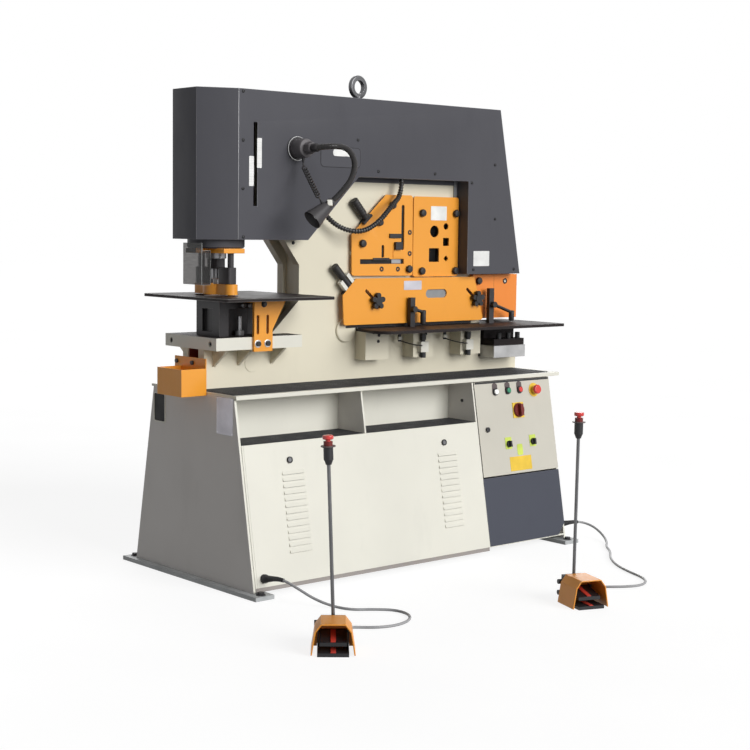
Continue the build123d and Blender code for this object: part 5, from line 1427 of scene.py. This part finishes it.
    def under_table(self):
        """Screws, hanging bolts, clamp bolts and hooks below the flat shear's table."""
        screw = socket_screw("support_screw", *self.SUPPORT_SCREW)
        places = [standing(SUPPORT_FACE, *at) for at in self.SUPPORT_SCREWS]
        finish(copies(screw, "support_screws", places), "machine", "plastic")
        hung = [facing(mm(x, y, FLAT_UNDERSIDE), DOWN) for x, y in self.HANGERS]
        stud = turned("stud", self.HANGING_STUD, 6)
        finish(copies(stud, "hanging_studs", hung), "machine", "plastic")
        nut = turned("nut", self.HANGING_NUT, 6)
        finish(copies(nut, "hanging_nuts", hung), "machine", "off_white")
        bolt = turned("clamp_bolt", self.CLAMP_BOLT, 6)
        places = [Matrix.Translation(mm(x, self.CLAMP_Y, self.CLAMP_Z)) for x in self.CLAMPS]
        finish(copies(bolt, "clamp_bolts", places), "machine", "plastic")
        for number, (hanger, clamp) in enumerate(zip(self.HANGERS, self.CLAMPS), start=1):
            stud, bolt = mm(*hanger, self.CLAMP_Z), mm(clamp, self.CLAMP_Y, self.CLAMP_Z)
            self.hook("table_hook_%d" % number, stud, bolt)

    def hook(self, name, stud, bolt):
        """A bent wire from a hanging stud to the clamp bolt beside it."""
        bends = [stud + mm(*step) for step in self.HOOK_START]
        bends += [bolt + mm(*step) for step in self.HOOK_END]
        wire = ribbed_tube(name, line_points(bends), [self.HOOK_RADIUS * MM] * self.HOOK_RINGS, 8)
        finish(wire, "machine", "plastic", limit=50)


class IRONWORKER_OT_controls(bpy.types.Operator):
    """Finish the control door, its plates, buttons and switches"""

    bl_idname = "ironworker.controls"
    bl_label = "Control panel"

    LAMP, LAMP_REACH, LENS_LOW = (507, 666), 12, 8.2
    ESTOP, ESTOP_REACH = (743, 662), 31
    SWITCH, SWITCH_REACH = (634, 582), 36
    SELECTORS, SELECTOR_REACH = ((554, 444), (702, 444)), 32
    LEGEND_LOW, LEGEND_HIGH, LEGEND_RIGHT = 684, 700, 680
    # Operated pieces: node, finish, eased edge
    OPERATED = (
        ("start_button", "green", 1.2), ("stop_button", "red", 1.2), ("panel_estop", "red", 1.2),
        ("main_switch", "dark_red", 1.2), ("selector_left", "plastic", 0), ("selector_right", "plastic", 0),
    )
    # Bare plates: name, place, size, finish, corner radius
    PLATES = (
        ("door_plate", (617.5, 358.5), (131, 61), "yellow", 3),
        ("selector_plate", (620, 416), (34, 48), "lime", 8),
    )
    HOLDERS, HOLDER_Z, HOLDER_SIZE = (507, 583, 655), 677, (31, 53)
    HOLDER_THICK, HOLDER_CORNER = 1.2, 13
    DIAL = ((3.4, 29), (4.4, 30.5), (9, 30.5), (11.6, 28))
    # A black strip along the door's top: painted shadow in the gap under the deck
    SEAL_AT, SEAL_SIZE, SEAL_CORNER = (617, 707), (450, 8), 2

    def execute(self, context):
        # The door gets the darkened cream: painted shade
        dress("control_door", "door_cream", "door_cream_edge", sheet_edge(context))
        regions = [("legend", self.legend), ("white_lens", self.lens)]
        regions.append(("yellow", near(*self.ESTOP, self.ESTOP_REACH)))
        regions.append(("yellow", near(*self.SWITCH, self.SWITCH_REACH)))
        regions += [("lime", near(*at, self.SELECTOR_REACH)) for at in self.SELECTORS]
        dress("panel_fittings", "plastic", "plastic", 0.6, regions)
        for node, coating, edge in self.OPERATED:
            dress(node, coating, coating, edge)
        for name, at, size, coating, corner in self.PLATES:
            thin_plate(name, on_slope(*at, DOOR_FACE), size, coating, "control_door", corner)
        self.door_trim()
        return {"FINISHED"}

    def legend(self, c, n):
        return self.LEGEND_LOW < c.z < self.LEGEND_HIGH and c.x < self.LEGEND_RIGHT

    def lens(self, c, n):
        return near(*self.LAMP, self.LAMP_REACH)(c, n) and front_depth(c) > DOOR_FACE + self.LENS_LOW

    def door_trim(self):
        """Legend holders round the buttons, the main switch's dial, and a black rubber strip along the
        door's top that is painted shadow under the deck.
        """
        holder = eased_plate("legend_holder", self.HOLDER_SIZE, self.HOLDER_THICK, self.HOLDER_CORNER)
        places = [on_slope(x, self.HOLDER_Z, DOOR_FACE) for x in self.HOLDERS]
        finish(copies(holder, "legend_holders", places), "control_door", "legend")
        place = facing(on_front(*self.SWITCH, DOOR_FACE), OUTWARD)
        switch_body = NODES["main_switch"]["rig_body"]
        turned_on("main_switch_dial", place, self.DIAL, "dark_red", switch_body, 48)
        seal_place = on_slope(*self.SEAL_AT, DOOR_FACE)
        thin_plate("door_seal", seal_place, self.SEAL_SIZE, "rubber", "control_door", self.SEAL_CORNER)


class IRONWORKER_OT_work_lamp(bpy.types.Operator):
    """Build the work lamp: foot, gooseneck and shade"""

    bl_idname = "ironworker.work_lamp"
    bl_label = "Work lamp"

    FOOT = (-428, CASE_FRONT, 1655)
    NECK = (
        (-428, -236, 1655), (-420, -300, 1661), (-350, -328, 1655),
        (-318, -334, 1588), (-350, -320, 1505), (-405, -290, 1448),
    )
    HEAD, HEAD_WAY = (-405, -290, 1448), Vector((-92, 12, -76)).normalized()
    FLANGE, RIM_LOW, RIM_RADIUS = ((0, 47), (5.8, 47), (7, 45.8), (7, 44.8)), 5.9, 44
    FOOT_RINGS = ((7, 36.4), (11, 37), (58, 37), (64, 34.5), (67, 29), (67.3, 20))
    # Turned pieces on the foot's axis: name, rings, finish, sides, smoothing angle
    FOOT_PIECES = (
        # The foot and nut take the lightened grey: painted light
        ("lamp_foot", FOOT_RINGS, "lamp_grey", 48, 30),
        ("lamp_nut", ((67, 22), (69, 24), (97, 24), (100, 21.5)), "lamp_grey", 6, SMOOTH_ANGLE),
        ("lamp_collar", ((100, 15), (102, 16), (127, 16), (135, 12.5)), "lamp_black", 32, 30),
    )
    NECK_RIBS, NECK_HIGH, NECK_LOW = 96, 11.5, 10.3
    # The shade from its socket to its mouth, with fins between: rings of (height, radius)
    SOCKET, FINS, FIN_START, FIN_PITCH = ((-8, 13.5), (-2, 16.5)), 3, 2, 7
    FIN = ((0, 17), (4, 17), (4.5, 15.5), (6.5, 15.5))
    MOUTH = ((25, 22), (106, 39), (108, 39), (108, 36.5), (45, 20.5), (44.9, 4))
    BULB = ((46, 12), (56, 12.5), (62, 16.5), (74, 18.5), (84, 16.5), (90, 10), (92, 3))
    SWITCH_WAY = Vector((-0.374, -0.786, 0.328)).normalized()
    SWITCH_LOW, SWITCH_HIGH, SWITCH_ALONG, SWITCH_OUT = (-10, -12, -4), (10, 12, 7), 14, 15
    GLAND = ((0, 5.4), (2, 6), (13, 6), (14, 5), (22, 4.6), (26, 3.4))
    GLAND_Y, GLAND_DROP, GLAND_ALONG, GLAND_OUT = -146, 30, 34, 10

    def execute(self, context):
        foot = facing(mm(*self.FOOT), FRONT)
        self.flange(foot)
        for name, rings, coating, sides, limit in self.FOOT_PIECES:
            turned_on(name, foot, rings, coating, sides=sides, limit=limit)
        self.gooseneck()
        self.shade()
        below = facing(mm(self.FOOT[0], self.GLAND_Y, self.FOOT[2] - self.GLAND_DROP), DOWN)
        beside = self.on_head(LEAD_WAY, self.GLAND_ALONG, self.GLAND_OUT)
        glands = copies(turned("gland", self.GLAND, 20), "lead_glands", [below, beside])
        finish(glands, "machine", "plastic", limit=30)
        return {"FINISHED"}

    def on_head(self, way, along, out):
        """The matrix that stands a piece beside the shade's axis."""
        return facing(mm(*self.HEAD) + (self.HEAD_WAY * along + way * out) * MM, way)

    def flange(self, foot):
        """The foot's disc with a bright rim."""
        disc = turned("lamp_flange", self.FLANGE, 48)
        coat(disc, "tool", "bright")
        recolour(disc, 1, lambda c, n: c.z > self.RIM_LOW and c.xy.length > self.RIM_RADIUS)
        finish(placed(disc, foot), "machine")
        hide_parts("work_lamp")

    def gooseneck(self):
        rings = [self.NECK_HIGH if index % 2 else self.NECK_LOW for index in range(2 * self.NECK_RIBS + 1)]
        points = line_points([mm(*point) for point in self.NECK])
        neck = ribbed_tube("gooseneck", points, [radius * MM for radius in rings])
        finish(neck, "machine", "hose", limit=40)

    def shade(self):
        """The finned shade, its bulb and the switch beside its socket."""
        place = facing(mm(*self.HEAD), self.HEAD_WAY)
        profile = list(self.SOCKET)
        for fin in range(self.FINS):
            low = self.FIN_START + fin * self.FIN_PITCH
            profile += [(low + rise, radius) for rise, radius in self.FIN]
        profile += self.MOUTH
        turned_on("lamp_shade", place, profile, "lamp_black", sides=40, limit=30)
        turned_on("lamp_bulb", place, self.BULB, "white_lens", sides=28, limit=40)
        switch = slab("lamp_switch", self.SWITCH_LOW, self.SWITCH_HIGH)
        apply_bevel(switch, 2, 3)
        seat = self.on_head(self.SWITCH_WAY, self.SWITCH_ALONG, self.SWITCH_OUT)
        finish(placed(switch, seat), "machine", "off_white")


class IRONWORKER_OT_lamp_lead(bpy.types.Operator):
    """Coil the curly lead between the lamp's foot and its shade"""

    bl_idname = "ironworker.lamp_lead"
    bl_label = "Curly lamp lead"

    TOP, END = (-428, -146, 1599), (-454, -286.6, 1454.2)
    RUN_OUT, SAG, CURL_RADIUS, STEPS = 10.4, 3, 8.39, 16
    LENGTH = 0.677

    def execute(self, context):
        sizes = context.scene.ironworker_sizes
        top, end = mm(*self.TOP), mm(*self.END)
        start, stop = top + DOWN * self.RUN_OUT * MM, end + LEAD_WAY * self.RUN_OUT * MM
        middle = (start + stop) / 2 + mm(0, 0, -self.SAG)
        last = sizes.lead_curls * self.STEPS
        stations = even_points(line_points([start, middle, stop]), last + 1)
        points = [top]
        for index, ((centre, _), (a, b)) in enumerate(zip(stations, carried_frames(stations))):
            turn = 2 * math.pi * index / self.STEPS
            share = min(1.0, index / self.STEPS, (last - index) / self.STEPS)
            radius = self.CURL_RADIUS * MM * share * share * (3 - 2 * share)
            points.append(centre + (a * math.cos(turn) + b * math.sin(turn)) * radius)
        points.append(end)
        lead = route("curly_lead", points)
        lead.data.resolution_u = 3
        sheathe(lead, sizes.lead_diameter, 3, "hose")
        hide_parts("lamp_cord")
        return {"FINISHED"}


class IRONWORKER_OT_conduit(bpy.types.Operator):
    """Run the ribbed conduit from the casing's slanted edge to its window"""

    bl_idname = "ironworker.conduit"
    bl_label = "Ribbed conduit"

    ROUTE = (
        (-262.9, -78, 1405.7), (-216.3, -78, 1359), (-120, -122, 1330), (-25, -126, 1372),
        (60, -112, 1444), (142, -78, 1490), (142, -78, 1556),
    )
    RIB_DEPTH = 3.4
    LENGTH = 0.546

    def execute(self, context):
        sizes = context.scene.ironworker_sizes
        points = line_points([mm(*point) for point in self.ROUTE])
        high = sizes.hose_diameter / 2
        low = high - self.RIB_DEPTH * MM
        rings = [low] * 3 + [low, high, high, high, low] * sizes.hose_ribs + [low] * 3
        hose = finish(ribbed_tube("ribbed_conduit", points, rings, 16), "machine", "hose", limit=50)
        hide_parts("conduit")
        return {"FINISHED"}


class IRONWORKER_OT_pedals(bpy.types.Operator):
    """Finish the two foot pedals, their hoods, stalks and buttons"""

    bl_idname = "ironworker.pedals"
    bl_label = "Foot pedals"

    BETWEEN_PEDALS = -500
    SOCKET_TOP, DISC_LOW, DISC_HIGH = 99, 57.5, 62.6
    STRIP_HALF, STRIP_THICK, STRIP_EDGE = 8.5, 2.4, 1.1
    # Ends of the red strips, as (y, z) from the pedal's place
    TREADLE_STRIP, BASE_STRIP = ((14, 42.6), (100, 60.6)), ((-4, 12.2), (60, 13.2))

    def execute(self, context):
        dress("pedal_guards", "hood_orange", "hood_orange_edge", sheet_edge(context))
        stalk = ("dark_steel", lambda c, n: c.z > self.SOCKET_TOP and self.lift(c) < -1)
        disc = ("legend", lambda c, n: self.DISC_LOW < self.lift(c) < self.DISC_HIGH)
        neck = ("dark_red", lambda c, n: self.lift(c) >= self.DISC_HIGH)
        dress("pedal_bases", "plastic", "plastic", 1.2, [stalk, disc, neck])
        for side, (x, y), yaw, _ in PEDALS:
            dress("treadle_" + side, "plastic", "plastic", 1.2)
            dress("stalk_estop_" + side, "red", "red", 0.8)
            place = Matrix.Translation(mm(x, y, 0)) @ Matrix.Rotation(math.radians(yaw), 4, "Z")
            self.strip("treadle_strip_" + side, "treadle_" + side, place, *self.TREADLE_STRIP)
            self.strip("base_strip_" + side, "machine", place, *self.BASE_STRIP)
        return {"FINISHED"}

    def lift(self, c):
        """Height above the stalk's button seat."""
        pedal = PEDALS[0] if c.x < self.BETWEEN_PEDALS else PEDALS[1]
        return c.z - pedal[3]

    def strip(self, name, body, place, near_end, far_end):
        """A red strip along the middle of a pedal, between two (y, z) points of its top."""
        run, rise = far_end[0] - near_end[0], far_end[1] - near_end[1]
        half = self.STRIP_HALF
        piece = slab(name, (-half, 0, 0), (half, math.hypot(run, rise), self.STRIP_THICK))
        apply_bevel(piece, self.STRIP_EDGE)
        tilt = Matrix.Rotation(math.atan2(rise, run), 4, "X")
        placed(piece, place @ Matrix.Translation(mm(0, *near_end)) @ tilt)
        finish(piece, body, "red_strip")


class IRONWORKER_OT_pedal_cables(bpy.types.Operator):
    """Lay the pedal cables from their glands along the floor to the pedals"""

    bl_idname = "ironworker.pedal_cables"
    bl_label = "Pedal cables"

    LEFT_ROUTE = (
        (-770, -566, 60), (-738, -626, 26), (-704, -690, 7), (-680, -766, 6), (-612, -808, 6),
        (-556, -866, 6), (-562, -946, 6), (-622, -1006, 6), (-700, -1024, 6), (-770, -1002, 6),
        (-824, -952, 6), (-892, -944, 14),
    )
    RIGHT_ROUTE = (
        (1012, -408, 52), (1004, -478, 22), (950, -548, 6), (886, -596, 6), (822, -676, 6),
        (716, -764, 6), (632, -870, 6), (580, -980, 6), (546, -1076, 6), (494, -1138, 6),
        (426, -1158, 6), (358, -1128, 6), (286, -1072, 6), (214, -1032, 6), (142, -1024, 12),
    )
    # Where each boot stands, the way out of it, the cable's first straight run and its route
    ENDS = {
        "left": (on_front(-790, 64, 3), OUTWARD, 46.5, LEFT_ROUTE),
        "right": (mm(847, -362, 70), RIGHT, 60, RIGHT_ROUTE),
    }
    # A boot's foot and tip, and one of its ribs: rings of (height, radius)
    BOOT, BOOT_FOOT, BOOT_TIP = 62, ((0, 16.8), (10, 16.8), (14, 15)), ((61.5, 8.8), (62, 6.2))
    BOOT_RIB = ((0, -1.2), (2.2, -1.2), (2.6, 0), (7, -0.3))
    RIBS, RIB_LOW, RIB_PITCH, RIB_RADIUS, RIB_TAPER = 6, 15, 7.6, 13.2, 0.7
    SLEEVE, SLEEVE_RADIUS, SLEEVE_RINGS, SLEEVE_TAPER = 48, 9.6, 19, 0.12
    REAR, INLET, RUN_OUT = 154, 26, 60
    LENGTHS = {"left": 1.099, "right": 1.545}

    def execute(self, context):
        boots = []
        for side, (x, y), yaw, _ in PEDALS:
            face, out, first, middle = self.ENDS[side]
            boots.append(self.boot("cable_boot_" + side, face, out))
            tip = face + out * self.BOOT * MM
            back = Vector((-math.sin(math.radians(yaw)), math.cos(math.radians(yaw)), 0))
            inlet = mm(x, y, self.INLET) + back * self.REAR * MM
            points = [tip, tip + out * first * MM, *[mm(*point) for point in middle]]
            points += [inlet + back * self.RUN_OUT * MM, inlet]
            sleeve = self.sleeve("cable_sleeve_" + side, points)
            self.cable(context, side, points, [boots[-1], sleeve])
        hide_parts("cable_boots")
        return {"FINISHED"}

    def boot(self, name, face, out):
        """A ribbed strain relief that tapers to the cable."""
        profile = list(self.BOOT_FOOT)
        for rib in range(self.RIBS):
            low, radius = self.RIB_LOW + rib * self.RIB_PITCH, self.RIB_RADIUS - self.RIB_TAPER * rib
            profile += [(low + rise, radius + size) for rise, size in self.BOOT_RIB]
        profile += self.BOOT_TIP
        return turned_on(name, facing(face, out), profile, "rubber", limit=30)

    def sleeve(self, name, points):
        """A bend protector round the cable's first stretch, with a groove every third ring."""
        line = line_points(points)
        run, end = 0.0, 1
        while run < self.SLEEVE * MM:
            run += (line[end] - line[end - 1]).length
            end += 1
        rings = []
        for step in range(self.SLEEVE_RINGS):
            groove = 1 if step % 3 == 2 else 0
            rings.append((self.SLEEVE_RADIUS - self.SLEEVE_TAPER * step - groove) * MM)
        return finish(ribbed_tube(name, line[:end], rings, 18), "machine", "rubber", limit=30)

    def cable(self, context, side, points, pieces):
        diameter = context.scene.ironworker_sizes.cable_diameter
        piece = route("pedal_cable_" + side + "_sheath", points)
        sheathe(piece, diameter, 4, "cable")
        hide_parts("pedal_cable_" + side)


OPERATORS = (
    IRONWORKER_OT_stage,
    IRONWORKER_OT_base,
    IRONWORKER_OT_mats,
    IRONWORKER_OT_frame,
    IRONWORKER_OT_casing,
    IRONWORKER_OT_punch,
    IRONWORKER_OT_shears,
    IRONWORKER_OT_controls,
    IRONWORKER_OT_work_lamp,
    IRONWORKER_OT_lamp_lead,
    IRONWORKER_OT_conduit,
    IRONWORKER_OT_pedals,
    IRONWORKER_OT_pedal_cables,
)


class IRONWORKER_PT_panel(bpy.types.Panel):
    """Lists the steps that dress the machine"""

    bl_idname = "IRONWORKER_PT_panel"
    bl_label = "Ironworker"
    bl_space_type = "VIEW_3D"
    bl_region_type = "UI"
    bl_category = "Ironworker"

    def draw(self, context):
        for settings in ("ironworker_colours", "ironworker_sizes", "ironworker_stage"):
            group = getattr(context.scene, settings)
            box = self.layout.box()
            for key in group.bl_rna.properties.keys():
                if key not in ("rna_type", "name"):
                    box.prop(group, key)
        for operator in OPERATORS:
            self.layout.operator(operator.bl_idname)


CLASSES = (IronworkerColours, IronworkerSizes, IronworkerStage, *OPERATORS, IRONWORKER_PT_panel)


def register():
    for made in CLASSES:
        bpy.utils.register_class(made)
    bpy.types.Scene.ironworker_colours = PointerProperty(type=IronworkerColours)
    bpy.types.Scene.ironworker_sizes = PointerProperty(type=IronworkerSizes)
    bpy.types.Scene.ironworker_stage = PointerProperty(type=IronworkerStage)


def unregister():
    del bpy.types.Scene.ironworker_stage
    del bpy.types.Scene.ironworker_sizes
    del bpy.types.Scene.ironworker_colours
    for made in reversed(CLASSES):
        bpy.utils.unregister_class(made)


def main():
    register()
    make_finishes(bpy.context.scene.ironworker_colours)
    for operator in OPERATORS:
        family, step = operator.bl_idname.split(".")
        getattr(getattr(bpy.ops, family), step)()
    deselect()
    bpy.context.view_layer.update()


if __name__ == "__main__":
    main()
